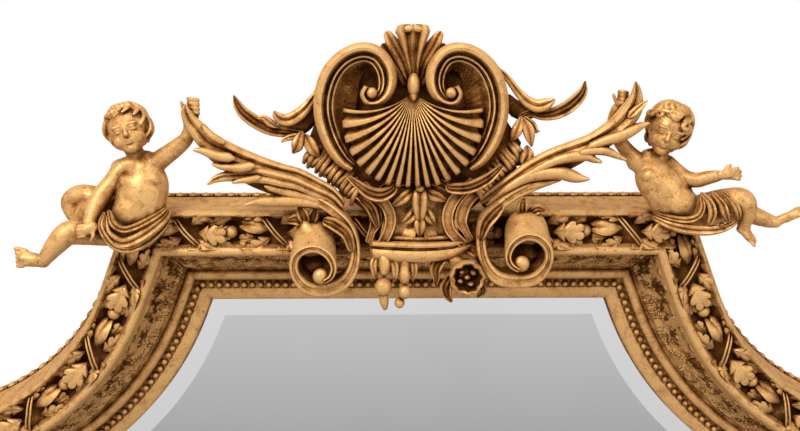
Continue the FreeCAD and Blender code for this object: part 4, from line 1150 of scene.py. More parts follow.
SPRAY_RIGHT = [
    [(91, 116, 1804, 5), (110, 119, 1819, 5.5), (128, 122, 1832, 6), (146, 125, 1845, 7), (170, 128, 1858, 7.5),
     (194, 131, 1867, 8), (218, 134, 1876, 8.5), (236, 137, 1887, 9.5), (251, 140, 1899, 10.5),
     (262, 143, 1914, 10.5), (266, 146, 1928, 7.5), (266, 149, 1940, 4), (264, 152, 1947, 1.5)],
    [(262, 148, 1910, 4.5), (270, 149, 1918, 4), (278, 150, 1925, 1.5)],
    [(217, 140, 1871, 4.5), (231, 142, 1877, 5.5), (246, 144, 1882, 6), (260, 146, 1888, 5.5),
     (272, 148, 1895, 4), (281, 150, 1899, 1.5)],
    [(100, 118, 1801, 5), (122, 122, 1820, 5.5), (146, 126, 1836, 5.5), (170, 130, 1850, 5.5),
     (194, 134, 1858, 6), (212, 138, 1859, 5), (221, 142, 1855, 3), (227, 146, 1853, 1.5)],
    [(207, 140, 1864, 3.5), (223, 142, 1866, 4.5), (236, 144, 1865, 4.5), (247, 146, 1860, 3),
     (256, 148, 1856, 1.5)],
    [(117, 120, 1816, 4.5), (140, 124, 1831, 6), (161, 128, 1837, 7), (182, 132, 1838, 7), (197, 136, 1834, 6),
     (206, 140, 1832, 3.5), (213, 144, 1832, 1.5)],
    [(106, 112, 1797, 6.5), (129, 116, 1813, 6.5), (151, 120, 1822, 5.5), (168, 124, 1826, 3.5),
     (177, 128, 1828, 1.5)],
]
SPRAY_GROUND_LEFT = [
    (-90, 110, 1800, 8), (-120, 113, 1814, 14), (-150, 116, 1822, 17), (-180, 122, 1832, 17),
    (-210, 128, 1846, 14), (-236, 134, 1862, 10), (-252, 138, 1884, 7),
]
SPRAY_GROUND_RIGHT = [
    (96, 110, 1806, 8), (122, 113, 1822, 12), (150, 116, 1836, 14), (180, 122, 1850, 15), (210, 128, 1864, 12),
    (240, 134, 1882, 10), (260, 138, 1906, 8),
]


def spray_form(blades, ground):
    form = bands(Form(), blades[:2], LEAF, 6, 1.1, tip=1.0, grow=1.25)
    bands(form, blades[2:], RIDGE, 6, 1.1, tip=1.0, grow=1.25)
    # the ground behind the spray is painted dark as shade
    band(form, ground, RIDGE, 4, 0.45, tints=DARK)
    return form


# scroll feet: a band that winds in on itself and comes forward
VOLUTE_LEFT = [
    (-160, 118, 1813, 6.5), (-134, 120, 1809, 6.5), (-110, 124, 1801, 6.5), (-88, 127, 1785, 6.5),
    (-74, 129, 1768, 6), (-68, 131, 1744, 6), (-72, 133, 1719, 7), (-85, 135, 1702, 8.5), (-106, 138, 1695, 9),
    (-128, 141, 1699, 8), (-141, 144, 1716, 6), (-142, 146, 1733, 5.5), (-133, 148, 1745, 5.5),
    (-116, 149, 1749, 5.5), (-101, 150, 1741, 5), (-94, 151, 1727, 4), (-97, 152, 1715, 3.5),
    (-105, 152, 1709, 3),
]
VOLUTE_RIGHT = [
    (183, 118, 1833, 6.5), (153, 120, 1822, 6.5), (128, 124, 1811, 6.5), (107, 127, 1796, 6.5),
    (90, 129, 1778, 6.5), (86, 131, 1752, 6), (92, 133, 1726, 7), (107, 135, 1709, 8.5), (131, 138, 1705, 8.5),
    (153, 141, 1710, 8), (166, 144, 1727, 6), (167, 146, 1745, 5.5), (156, 148, 1759, 5.5), (139, 149, 1763, 5.5),
    (123, 150, 1754, 5), (117, 151, 1739, 4), (121, 152, 1728, 3.5), (130, 152, 1722, 3),
]
# section of a rolled sheet: (share of its half thickness outwards, depth before its edge); its back comes last
SHEET = [
    (1, 0), (0.8, 2.4), (0.4, 3), (0.12, 1), (-0.12, 1), (-0.4, 3), (-0.8, 2.4), (-1, 0), (-0.8, None),
    (0.8, None),
]
UNROLLED, ROLLING = 0.42, 0.2        # shares of its length that are plain, and over which the roll sets in


# band, middle of the roll, eye, neck and leaves on the neck
VOLUTES = {
    "volute_left": (
        VOLUTE_LEFT, (-118, 1721), (-110, 146, 1714),
        [(-119, 127, 1743, 25.5), (-121, 124, 1752, 22.5), (-126, 121, 1763, 15), (-130, 119, 1773, 9),
         (-131, 118, 1781, 7)],
        [[(-128, 118, 1772, 4), (-138, 123, 1780, 7), (-149, 122, 1779, 4)],
         [(-128, 120, 1774, 4), (-132, 126, 1786, 7), (-136, 123, 1794, 4)],
         [(-124, 119, 1774, 4), (-120, 124, 1785, 6.5), (-117, 122, 1793, 3)],
         [(-104, 128, 1779, 5.5), (-93, 133, 1775, 7), (-79, 135, 1764, 6.5), (-73, 135, 1746, 4.5)]]),
    "volute_right": (
        VOLUTE_RIGHT, (142, 1735), (134, 146, 1729),
        [(142, 127, 1757, 26), (142, 124, 1765, 23), (141, 121, 1775, 16), (141, 119, 1783, 9),
         (141, 118, 1789, 6)],
        [[(144, 118, 1784, 4), (155, 123, 1792, 6), (163, 122, 1791, 3)],
         [(138, 119, 1784, 4), (137, 125, 1796, 6.5), (139, 122, 1804, 3)],
         [(110, 128, 1797, 5), (102, 133, 1790, 7.5), (91, 135, 1777, 7.5), (86, 135, 1761, 4.5)]]),
}


def volute_form(rows, middle, eye, neck, leaves):
    """A sheet that rolls up on itself, seen along its edge, with an eye in it and a leaf on its neck."""
    form = Form()
    path = eased(rows, 6)
    centre = np.array([middle[0], 0, middle[1]])
    ways = np.gradient(path[:, :3], axis=0)
    rings = []
    for k, row in enumerate(path):
        spot, half = row[:3], row[3]
        out = unit(np.array([ways[k][2], 0, -ways[k][0]]))
        away = spot - centre
        away[1] = 0
        if np.dot(out, away) < 0:
            out = -out
        rolled = min(1.0, max(0.0, (k / (len(path) - 1) - UNROLLED) / ROLLING))
        hind = centre + away * (1 - 0.1 * rolled) + np.array([0, 112 + 8 * rolled, 4 + 24 * rolled])
        rings.append([hind + out * half * s if d is None else spot + out * half * s + np.array([0, d, 0])
                      for s, d in SHEET])
    # the inner side of the sheet, facing into the roll, is painted dark as shade
    tube(form, rings, [1 if j == 7 else 0 for j in range(len(SHEET))])
    ball(form, eye, (10, 8, 10), 18, 12)
    # the core in the middle of the roll is painted dark as shade
    core = [(middle[0], 118, middle[1] + 8, 21), (middle[0] + 1, 121, middle[1] + 12, 21)]
    band(form, core, ROUND, 2, 1.0, out=(0, 0, 1), tints=[1] * len(ROUND))
    band(form, neck, ROUND, 5, 0.9, tip=0.3)
    return bands(form, leaves, ACANTHUS, 5, 1.0, tip=0.7, grow=1.15)


def backed(form, front, depth):
    """A slab from its front grid to a flat back at a depth."""
    back = front.copy()
    back[:, :, 1] = depth
    slab(form, front, back)


def cartouche_form():
    form = Form()
    heights = [(1818, -44, 66), (1806, -34, 54), (1796, -28, 47), (1786, -25, 44), (1774, -24, 44), (1762, -26, 46),
               (1750, -30, 52), (1742, -34, 56)]
    profile = [(0, 110), (0.04, 113), (0.10, 114), (0.16, 113), (0.20, 114), (0.3, 114.5), (0.4, 115), (0.5, 115)]
    profile += [(1 - share, depth) for share, depth in reversed(profile[:-1])]
    rows = eased(heights, 4)
    front = [[(left + (right - left) * share, depth, z) for share, depth in profile] for z, left, right in rows]
    backed(form, np.array(front), 104.0)
    for side in (-1, 1):
        slab_rows = ((1774, 4, 16, 118), (1764, 5, 20, 122), (1755, 6, 24, 124), (1748, 6, 26, 121))
        front = [[(11 + side * (near + (far - near) * t), depth - 6 * t, z) for t in (0, 0.33, 0.66, 1)]
                 for z, near, far, depth in slab_rows]
        backed(form, np.array(front), 110.0)
    return form


def shelf_form():
    form = Form()
    section = [(0, -10), (6, -11), (11, -10), (14, -6), (14.5, -1.5), (12.5, 2), (9.5, 3), (9.5, 5), (13, 6),
               (13.5, 8.5), (12, 10.5), (8, 11.5), (0, 11)]
    rings = []
    for x, front, low, size in ((-51, 112, 1742, 0.75), (-47, 114, 1742, 1.0), (-34, 115, 1741, 1.1),
                                (-14, 117, 1740, 1.15), (8, 118, 1739.5, 1.15), (32, 117, 1740, 1.1),
                                (52, 116, 1742, 1.0), (66, 114, 1746, 0.75), (80, 112, 1749, 0.3)):
        rings.append([(x, front + out * size, low + up * size) for out, up in section])
    tube(form, rings)
    for low, high in ((-36, -31), (58, 52)):
        post = [(low, 120, 1754, 3.4), ((low + high) / 2, 121, 1770, 3.0), (high, 119, 1786, 2.6)]
        band(form, post, ROUND, 3, 0.8)
    band(form, [(-32, 119, 1757, 3.0), (10, 121, 1755, 3.2), (52, 119, 1757, 3.0)], ROUND, 3, 0.8)
    return form


def bellflower_form():
    petals = (
        [(11, 122, 1822, 4), (11, 130, 1812, 8), (11, 131, 1798, 8), (11, 129, 1786, 6), (11, 126, 1778, 3)],
        [(5, 121, 1818, 4.5), (-5, 127, 1811, 6.5), (-14, 127, 1804, 5.5), (-22, 124, 1798, 2)],
        [(15, 121, 1818, 4.5), (24, 127, 1812, 6.5), (33, 127, 1809, 6), (42, 124, 1804, 2.5)],
        [(8, 121, 1796, 4), (2, 126, 1786, 6), (-4, 126, 1780, 5), (-10, 122, 1775, 2)],
        [(14, 121, 1796, 4), (20, 126, 1787, 6), (25, 126, 1780, 5), (29, 122, 1774, 2)],
        [(11, 121, 1786, 4), (11, 127, 1776, 6.5), (11, 126, 1767, 5), (11, 122, 1759, 1.8)],
    )
    form = bands(Form(), petals, LEAF, 6, 1.2, tip=0.6, grow=1.15)
    ball(form, (11, 131, 1820), (5.5, 5, 5.5), 12, 8)
    return form


def buds_form():
    form = Form()
    rod(form, [(-36, 120, 1740, 5), (-33, 124, 1732, 8), (-32, 126, 1722, 7.5), (-33, 127, 1712, 5)], 4)
    ball(form, (-34, 129, 1697), (10.5, 10, 12), 16, 10)
    rod(form, [(-34, 127, 1686, 6), (-33, 126, 1676, 5.5), (-32, 125, 1668, 3)], 4)
    rod(form, [(-8, 120, 1740, 6), (-7, 124, 1731, 7), (-8, 126, 1720, 6), (-8, 127, 1711, 7.5),
               (-8, 127, 1702, 5)], 4)
    ball(form, (-8, 129, 1690), (8.5, 8.5, 9), 14, 9)
    ball(form, (-14, 127, 1676), (6.5, 6.5, 7), 12, 8)
    leaves = ([(-30, 122, 1736, 4), (-21, 127, 1726, 5.5), (-19, 128, 1712, 4), (-22, 126, 1702, 1.5)],
              [(-40, 121, 1738, 4), (-46, 125, 1726, 5), (-45, 126, 1714, 3.5), (-42, 124, 1706, 1.5)],
              [(-4, 121, 1738, 4), (3, 126, 1728, 5), (4, 126, 1714, 4), (1, 124, 1704, 1.5)])
    return bands(form, leaves, LEAF, 5, 0.9)


# rings of the cup: (depth, radius, raggedness)
ROSE_CUP = ((116, 8, 0), (120, 15, 0), (128, 20.5, 0.1), (137, 22, 0.5), (144, 20.5, 1), (146, 19, 1),
            (144, 16.8, 1), (136, 15.5, 0.3), (130, 12, 0), (127, 4, 0))
ROSE_COLUMNS = 40


def rose_form():
    """A cup with a ragged thin rim and a small ball in its middle, which is painted dark as shade, between leaves.
    """
    form = Form()
    cx, cz = 69, 1710
    rod(form, [(46, 117, 1742, 6), (52, 119, 1732, 8), (60, 121, 1720, 11), (66, 124, 1712, 13)], 4)
    rings = []
    for depth, radius, rag in ROSE_CUP:
        ring = []
        for k in range(ROSE_COLUMNS):
            turn = 2 * math.pi * k / ROSE_COLUMNS
            edge = radius + rag * (0.9 * math.sin(turn * 5 + 0.6) + 1.0 * math.sin(turn * 11))
            front = depth + rag * 1.6 * math.sin(turn * 7)
            ring.append((cx + edge * math.cos(turn), front, cz + edge * math.sin(turn)))
        rings.append(ring)
    tube(form, rings)
    # the inside of the cup, down to its middle, is painted dark as shade
    form.tints[-ROSE_COLUMNS * 3:] = [1] * ROSE_COLUMNS * 3
    for x, z, size in ((0, 0, 4.5), (8, 6, 5), (-7, 7, 4.5), (5, -9, 5), (-9, -5, 4.5)):
        ball(form, (cx + x, 134, cz + z), (size, 6, size * 0.8), 9, 6)
    leaves = ([(48, 117, 1738, 6), (38, 122, 1732, 8), (31, 124, 1718, 7), (32, 123, 1706, 4), (31, 121, 1698, 2)],
              [(50, 118, 1706, 5), (44, 123, 1694, 7.5), (46, 123, 1684, 5), (51, 121, 1676, 2)],
              [(74, 117, 1742, 6), (84, 121, 1736, 7), (90, 121, 1724, 4)],
              [(86, 120, 1700, 5), (90, 122, 1690, 5), (84, 120, 1682, 2)])
    return bands(form, leaves, ACANTHUS, 6, 1.0, grow=1.1)


def side_scrolls_form():
    ribbons = (
        [(-58, 116, 1822, 5), (-44, 122, 1809, 5.5), (-31, 122, 1798, 6), (-25, 123, 1782, 6),
         (-28, 124, 1766, 5.5), (-36, 124, 1750, 5)],
        [(76, 116, 1826, 5), (63, 122, 1816, 5.5), (51, 122, 1802, 6), (45, 123, 1784, 6),
         (49, 124, 1766, 5.5), (64, 124, 1750, 5)],
        [(-66, 114, 1812, 5), (-55, 118, 1803, 6), (-45, 119, 1791, 7), (-43, 119, 1777, 6.5),
         (-48, 120, 1765, 4), (-52, 119, 1752, 4)],
        [(82, 114, 1812, 5), (71, 118, 1803, 6), (64, 119, 1791, 7), (62, 119, 1777, 6.5),
         (68, 120, 1765, 4), (74, 119, 1754, 4)],
    )
    leaves = (
        [(-74, 132, 1832, 3), (-66, 136, 1826, 4.5), (-51, 136, 1815, 7), (-36, 136, 1812, 7.5),
         (-23, 135, 1818, 5.5), (-20, 133, 1824, 3)],
        [(110, 130, 1846, 3), (92, 135, 1831, 6), (70, 136, 1821, 6.5), (49, 135, 1820, 5.5), (43, 133, 1824, 2.5)],
        [(-40, 124, 1812, 4), (-28, 130, 1822, 6), (-12, 131, 1828, 5), (2, 129, 1830, 3)],
        [(52, 124, 1816, 4), (40, 129, 1824, 6), (26, 130, 1829, 5), (14, 129, 1830, 3)],
        [(-60, 118, 1804, 4), (-50, 124, 1796, 6), (-44, 124, 1782, 5), (-41, 122, 1770, 2)],
    )
    form = bands(Form(), ribbons, RIBBON, 6, 1.0, grow=1.2)
    return bands(form, leaves, ACANTHUS, 6, 1.1, grow=1.15)


def backing_form():
    """Ground behind the scrolls, painted dark as shade, with rows of rubbed-down ribs along its lower edges."""
    form = Form()
    edge = [(-42, 1738), (56, 1738), (62, 1780), (94, 1808), (130, 1848), (136, 1874), (114, 1906), (90, 1956),
            (60, 1974), (28, 1966), (0, 1950), (-28, 1966), (-60, 1974), (-90, 1956), (-114, 1906), (-128, 1872),
            (-118, 1842), (-78, 1806), (-46, 1780)]
    tube(form, [[(x, depth, z) for x, z in edge] for depth in (93.0, 112.0)])
    # the whole ground takes the darker gilt of painted shade
    form.tints = [1] * len(form.tints)
    for side, line in ((1, [(-128, 1858), (-108, 1843), (-88, 1826), (-70, 1808)]),
                       (-1, [(136, 1862), (122, 1844), (104, 1824), (88, 1806)])):
        for k, (x, z) in enumerate(eased(line, 4)):
            sway = 2.5 * math.sin(k * 2.2)
            rod(form, [(x + side * 15, 106, z + 18, 3), (x + side * 8, 113, z + 9 + sway, 3.4),
                       (x, 114 + sway * 0.4, z, 3.6), (x - side * 4, 106, z - 9 - sway, 2.6)], 3, tip=0.5)
    return form


HUSKS_LEFT = [
    [(-133, 114, 1887, 3), (-136, 121, 1879, 6.5), (-139, 122, 1870, 7.5), (-144, 117, 1862, 2)],
    [(-129, 114, 1883, 3), (-124, 121, 1875, 7.5), (-118, 122, 1865, 7), (-113, 117, 1857, 2)],
]
HUSKS_RIGHT = [
    [(135, 114, 1905, 2.5), (131, 121, 1894, 6.5), (127, 121, 1885, 6.5), (124, 116, 1877, 2)],
    [(137, 114, 1903, 2.5), (142, 121, 1893, 7), (145, 122, 1882, 6.5), (148, 118, 1870, 1.5)],
    [(143, 114, 1869, 3), (143, 121, 1860, 8), (140, 121, 1851, 6.5), (138, 116, 1844, 2)],
]


# ================= figures =================
def limb(form, rows, steps, flat=1.0):
    """A rounded limb along (x, depth, z, radius) rows, with domed ends."""
    path = eased(rows, steps)
    centre, size = path[:, :3], path[:, 3]
    ways = gradient_ways(centre)
    dome = (0.45, 0.9, 1.35)
    places = [(centre[0] - ways[0] * size[0] * math.sin(t), size[0] * math.cos(t), 0) for t in reversed(dome)]
    places += [(centre[k], size[k], k) for k in range(len(centre))]
    places += [(centre[-1] + ways[-1] * size[-1] * math.sin(t), size[-1] * math.cos(t), -1) for t in dome]
    rings = []
    for place, radius, k in places:
        across = unit(np.cross(ways[k], np.array([0, 1.0, 0.001])))
        lift = np.cross(across, ways[k])
        turns = [j * math.pi / 8 for j in range(16)]
        rings.append([place + across * radius * math.cos(t) + lift * radius * flat * math.sin(t) for t in turns])
    tube(form, rings)


def hand(form, palm, way, side, size, spread, bend, thumb):
    """A child's hand: palm, four fingers along way and a thumb on one side."""
    way, side = unit(np.array(way, float)), unit(np.array(side, float))
    up = unit(np.cross(way, side))
    palm = np.array(palm, float)
    limb(form, [(*(palm - way * 6 * size), 6.0 * size), (*(palm + way * 2 * size), 6.8 * size),
                (*(palm + way * 6 * size), 6.2 * size)], 3, 0.8)
    for k in range(4):
        shift = (k - 1.5) * 3.5 * size
        reach = (11, 13.5, 13, 10.5)[k] * size
        fan = (k - 1.5) * 0.13 * spread
        ahead = unit(way + side * fan)
        root = palm + way * 7 * size + side * shift
        mid = root + ahead * reach * 0.5 + up * bend * 2 * size
        end = root + ahead * reach * (1 - bend * 0.3) - up * bend * 6 * size
        limb(form, [(*root, 2.5 * size), (*mid, 2.3 * size), (*end, 1.9 * size)], 3)
    root = palm + side * thumb * 5.5 * size
    end = root + unit(way + side * thumb * 0.9) * 9 * size
    limb(form, [(*root, 2.9 * size), (*((root + end) / 2 + side * thumb * 1.2), 2.7 * size), (*end, 2.1 * size)], 3)


def fist(form, wrist, size):
    """A closed hand above its wrist: palm, four rolled fingers one over another and the thumb beside them."""
    x, depth, z = wrist
    limb(form, [(x, depth, z, 7.0 * size), (x + 1, depth, z + 10 * size, 7.4 * size),
                (x + 1, depth - 1, z + 20 * size, 6.0 * size)], 3, 0.8)
    for k in range(4):
        high = z + (8.0 + 5.2 * k) * size
        limb(form, [(x - 4.5 * size, depth + 3, high + 1, 2.2 * size), (x + 1, depth + 7, high, 2.7 * size),
                    (x + 7.5 * size, depth + 3, high - 1, 2.5 * size)], 3)
    thumb = ((5, 3, 6, 3.0), (9.5, 5, 13, 2.6), (12, 5, 20, 2.2))
    limb(form, [(x - a * size, depth + b, z + c * size, radius * size) for a, b, c, radius in thumb], 3)


def resting_hand(form, place):
    """A hand laid on the thigh, with its fingers to the left and the thumb hanging down."""
    x, depth, z = place
    limb(form, [(x + 4, depth, z + 3, 6.5), (x - 4, depth + 2, z, 6.8)], 3, 0.8)
    for k in range(4):
        high = z + 5.5 - 4.3 * k
        limb(form, [(x - 5, depth + 4, high, 2.2), (x - 11, depth + 6 - abs(k - 1.2), high - 0.8, 2.0),
                    (x - 16 + abs(k - 1.3) * 1.2, depth + 3, high - 2.2, 1.7)], 3)
    limb(form, [(x + 5, depth + 2, z - 1, 2.8), (x + 5, depth + 4, z - 8, 2.5), (x + 2, depth + 3, z - 13, 2.0)], 3)


def foot(form, heel, toe, top, size):
    """A child's foot from heel to toes; top is the direction of the instep."""
    heel, toe, top = (np.array(v, float) for v in (heel, toe, top))
    way = unit(toe - heel)
    length = np.linalg.norm(toe - heel)
    side = unit(np.cross(way, top))
    limb(form, [(*heel, 6.8 * size), (*(heel + way * length * 0.3 + top * 1.2), 6.8 * size),
                (*(heel + way * length * 0.6), 6.6 * size), (*(heel + way * length * 0.8), 6.0 * size)], 4)
    for s in (-1, 1):
        limb(form, [(*(heel + way * length * 0.35 + side * s * 2.0 * size), 5.4 * size),
                    (*(heel + way * length * 0.78 + side * s * 3.6 * size), 4.8 * size)], 3)
    for k in range(5):
        shift = (k - 2) * 4.0 * size
        root = heel + way * length * 0.80 + side * shift
        tip = heel + way * (length * (1.20 - 0.05 * k)) + side * shift * 1.1 - top * 1.0
        limb(form, [(*root, 2.6 * size), (*tip, (2.5 if k == 0 else 1.9) * size)], 3)


LEFT_BODY = [
    ([(-337, 111, 1768, 26), (-335, 114, 1788, 31.5), (-331, 116, 1807, 31), (-326, 114, 1826, 29),
      (-326, 111, 1844, 21)], 0.8),
    ([(-351, 118, 1780, 19), (-344, 124, 1791, 21), (-333, 121, 1804, 20)], 0.9),
    ([(-357, 112, 1843, 11.5), (-334, 112, 1848, 13.5), (-312, 112, 1851, 12)], 0.9),
    ([(-334, 111, 1850, 11.5), (-337, 113, 1861, 11), (-341, 116, 1870, 11)], 1),
    ([(-316, 112, 1847, 13), (-299, 116, 1859, 11.5), (-285, 119, 1869, 10.5), (-273, 123, 1879, 9),
      (-267, 127, 1891, 8), (-267, 131, 1902, 7)], 1),
    ([(-356, 113, 1840, 12), (-366, 117, 1826, 11.5), (-377, 122, 1812, 11.5), (-383, 130, 1801, 11),
      (-385, 142, 1789, 9), (-386, 151, 1779, 7.5)], 1),
    ([(-345, 112, 1768, 22), (-368, 127, 1768, 19.5), (-393, 139, 1769, 17), (-412, 148, 1768, 15),
      (-424, 152, 1757, 13), (-433, 154, 1746, 10.5), (-439, 155, 1738, 8.5)], 1),
    ([(-358, 98, 1778, 20), (-385, 92, 1798, 16.5), (-412, 88, 1806, 14.5), (-427, 88, 1799, 12.5),
      (-423, 90, 1784, 11), (-410, 94, 1768, 9), (-404, 98, 1760, 7)], 1),
    ([(-366, 98, 1784, 17), (-390, 98, 1789, 16), (-408, 96, 1786, 13), (-412, 96, 1774, 10)], 1),
]
RIGHT_BODY = [
    ([(340, 111, 1783, 23), (326, 114, 1801, 28), (313, 116, 1819, 27.5), (302, 114, 1833, 25.5),
      (297, 112, 1848, 19)], 0.82),
    ([(344, 120, 1792, 18), (332, 126, 1801, 20), (320, 121, 1811, 18)], 0.9),
    ([(278, 112, 1849, 11), (296, 112, 1851, 12.5), (317, 112, 1848, 11)], 0.9),
    ([(304, 111, 1848, 11.5), (306, 113, 1859, 10.5), (310, 116, 1868, 10.5)], 1),
    ([(284, 112, 1847, 12.5), (268, 115, 1862, 9.8), (256, 119, 1876, 8.6), (248, 123, 1889, 8),
      (245, 127, 1902, 7.3), (248, 131, 1916, 6.8)], 1),
    ([(318, 113, 1847, 11), (328, 118, 1839, 9.6), (337, 123, 1832, 9.4), (348, 130, 1829, 9.4),
      (360, 138, 1833, 8.5), (369, 146, 1836, 7)], 1),
    ([(352, 118, 1786, 21), (368, 132, 1796, 19.5), (385, 148, 1805, 17), (396, 156, 1807, 15),
      (402, 156, 1796, 12.5), (402, 152, 1783, 10), (402, 152, 1775, 7.5)], 1),
    ([(362, 106, 1782, 17), (390, 114, 1789, 15.5), (410, 120, 1789, 12.5), (428, 123, 1783, 11),
      (442, 125, 1778, 9), (451, 126, 1776, 7)], 1),
]


def left_hands_and_feet(form):
    fist(form, (-261, 136, 1904), 1.0)
    resting_hand(form, (-384, 156, 1774))
    foot(form, (-441, 154, 1735), (-468, 160, 1741), (-0.1, 0.9, 0.35), 1.15)
    foot(form, (-404, 98, 1756), (-378, 104, 1752), (0, 0.3, 0.95), 0.9)
    for x, z in ((-341, 1827), (-316, 1829)):
        ball(form, (x, 126, z), (13, 10, 11), 14, 9)


def right_hands_and_feet(form):
    fist(form, (252, 134, 1915), 0.9)
    hand(form, (377, 152, 1838), (1, 0.1, 0.1), (0.1, 0.3, -1), 0.95, 1.4, 0.4, -1)
    foot(form, (399, 150, 1772), (412, 160, 1758), (0.6, 0.5, 0.6), 0.85)
    foot(form, (450, 126, 1775), (482, 130, 1792), (-0.4, 0.5, 0.8), 0.85)
    for x, z in ((293, 1834), (316, 1829)):
        ball(form, (x, 125, z), (12, 10, 10), 14, 9)


def grown_together(name, form, voxel, rounds):
    """An object whose overlapping shapes become one smooth skin."""
    made = new_object(name, form)
    use(made, "REMESH", mode="VOXEL", voxel_size=voxel)
    use(made, "SMOOTH", factor=0.5, iterations=rounds)
    return made


def figure_object(name, body, hands_and_feet):
    form = Form()
    for rows, flat in body:
        limb(form, rows, 5, flat)
    hands_and_feet(form)
    return grown_together(name, form, sizes().figure_detail, 5)


# both sides of a face: (across, forward, up), radii, columns and rows of a ball
FACE = (
    ((10.5, 13.5, -10.5), (8.5, 8, 8.5), 16, 10), ((9.3, 20, 5.6), (7.4, 4.2, 2.6), 14, 8),
    ((8.6, 19.4, 0.2), (4.2, 3.6, 2.9), 14, 10), ((8.7, 20.4, 2.2), (5, 3.4, 1), 12, 8),
    ((8.7, 20, -2), (4.6, 3.2, 0.8), 12, 8), ((2.6, 22.4, -6.6), (2.2, 2.6, 1.9), 10, 8),
    ((23.5, -2, -3), (3, 5, 7), 12, 8),
)
NOSE = ((0, 21.4, 3, 2.2), (0, 23.6, -2, 2.5), (0, 25.6, -6, 3.1))
UPPER_LIP = ((-5, 20.4, -13.2, 1.3), (-2, 22.4, -12.5, 1.7), (0, 22.8, -12.9, 1.6), (2, 22.4, -12.5, 1.7),
             (5, 20.4, -13.2, 1.3))
LOWER_LIP = ((-4, 20.2, -15.2, 1.4), (0, 22.4, -16, 2.1), (4, 20.2, -15.2, 1.4))
# layers of hair: locks, angle from the crown, distance from the middle, thickness
HAIR = ((20, 4, 25.4, 5.0), (14, 22, 27.6, 4.2))
CURLY = 1.5                  # above this curl the locks end in a ring


def head_object(name, centre, up, face, seed, curl):
    """A calm child's head, by the usual proportions: the eyes lie halfway up the head."""
    up, face = unit(np.array(up, float)), np.array(face, float)
    face = unit(face - up * np.dot(face, up))
    side = np.cross(face, up)
    frame = np.array([side, face, up])
    centre = np.array(centre, float)

    def at(a, b, c):
        return centre + side * a + face * b + up * c

    form = Form()
    ball(form, at(0, -2, 4), (24.5, 25.5, 25), 24, 16, frame)
    ball(form, at(0, 6, -8), (19.5, 17.5, 19), 20, 14, frame)
    ball(form, at(0, 15, -22), (8.5, 7.5, 6.5), 16, 10, frame)
    for s in (-1, 1):
        for (a, b, c), radii, around, tall in FACE:
            ball(form, at(s * a, b, c), radii, around, tall, frame)
    for line in (NOSE, UPPER_LIP, LOWER_LIP):
        limb(form, [(*at(*spot), radius) for *spot, radius in line], 3)
    draw = random.Random(seed)
    for layer, (locks, first, puff, thick) in enumerate(HAIR):
        for k in range(locks):
            turn = 2 * math.pi * (k + 0.4 * layer) / locks
            fringe = min(1.0, max(0.0, (math.sin(turn) - 0.02) / 0.66))
            last = 138 - 92 * fringe + draw.uniform(-9, 9) + 6 * layer
            phase = draw.uniform(0, 2)
            spots = []
            for j in range(8):
                share = j / 7
                fall = math.radians(first + (last - first) * share)
                swirl = turn + (0.14 + 0.08 * curl) * math.sin(share * (4 + 2 * curl) + phase) + 0.25 * share
                away = puff + 1.5 * math.sin(share * 8 + phase) - 0.8 * share
                away += (1.0 + 1.4 * (curl > CURLY)) * max(0.0, math.cos(fall))
                level = away * math.sin(fall)
                spot = at(level * math.cos(swirl), level * math.sin(swirl) - 2, away * math.cos(fall) + 4)
                spots.append((*spot, thick * (0.75 + 0.25 * math.sin(math.pi * share)) * (1 - 0.45 * share)))
            limb(form, spots, 2)
            if curl > CURLY and k % 2 == layer:
                tip, before = np.array(spots[-1][:3]), np.array(spots[-3][:3])
                ahead = unit(tip - before)
                beside = unit(np.cross(ahead, tip - centre))
                limb(form, [(*(tip + ahead * 4.5 * math.sin(t) + beside * 4.5 * (1 - math.cos(t))), 2.6)
                            for t in (0, 0.9, 1.8, 2.7, 3.6, 4.4)], 2)
    return grown_together(name, form, sizes().head_detail, 2)


# place, direction of the crown, direction of the face, seed of the hair, curl
HEADS = {
    "cherub_left_head": ((-342, 119, 1889), (-0.30, -0.1, 0.95), (0.1, 1, -0.05), 3, 1.0),
    "cherub_right_head": ((313, 121, 1889), (0.34, 0.2, 0.92), (-0.28, 1, -0.4), 7, 1.8),
}

# soft folds of cloth: section of a band with two rounded ridges
FOLDS = [(-1, -.1), (-.88, .38), (-.55, .66), (-.2, .42), (0, .14), (.25, .46), (.58, .6), (.88, .3), (1, -.1),
         (.5, -.6), (-.5, -.6)]


def drapery_form(folds):
    form = Form()
    for rows, flat in folds:
        band(form, rows, FOLDS, 8, flat, tip=0.9)
    return form


DRAPERY_LEFT = [
    ([(-367, 147, 1787, 3.5), (-366, 151, 1770, 6), (-358, 149, 1760, 7), (-347, 145, 1755, 7),
      (-330, 141, 1761, 7.5), (-312, 134, 1773, 7), (-300, 124, 1785, 5), (-297, 117, 1793, 1.5)], 0.8),
    ([(-362, 148, 1794, 3), (-358, 149, 1780, 4.5), (-348, 146, 1772, 4.5), (-335, 143, 1774, 4.5),
      (-318, 138, 1782, 4.5), (-304, 128, 1791, 3.5), (-300, 120, 1797, 1)], 0.9),
    ([(-369, 145, 1792, 2), (-372, 153, 1778, 3.5), (-366, 154, 1764, 4), (-356, 150, 1751, 4),
      (-340, 143, 1747, 4.5), (-320, 136, 1756, 5), (-304, 126, 1771, 4), (-297, 116, 1782, 1)], 0.8),
    ([(-340, 139, 1767, 2), (-328, 140, 1769, 2.5), (-314, 135, 1778, 2.5), (-304, 128, 1786, 1)], 1),
]
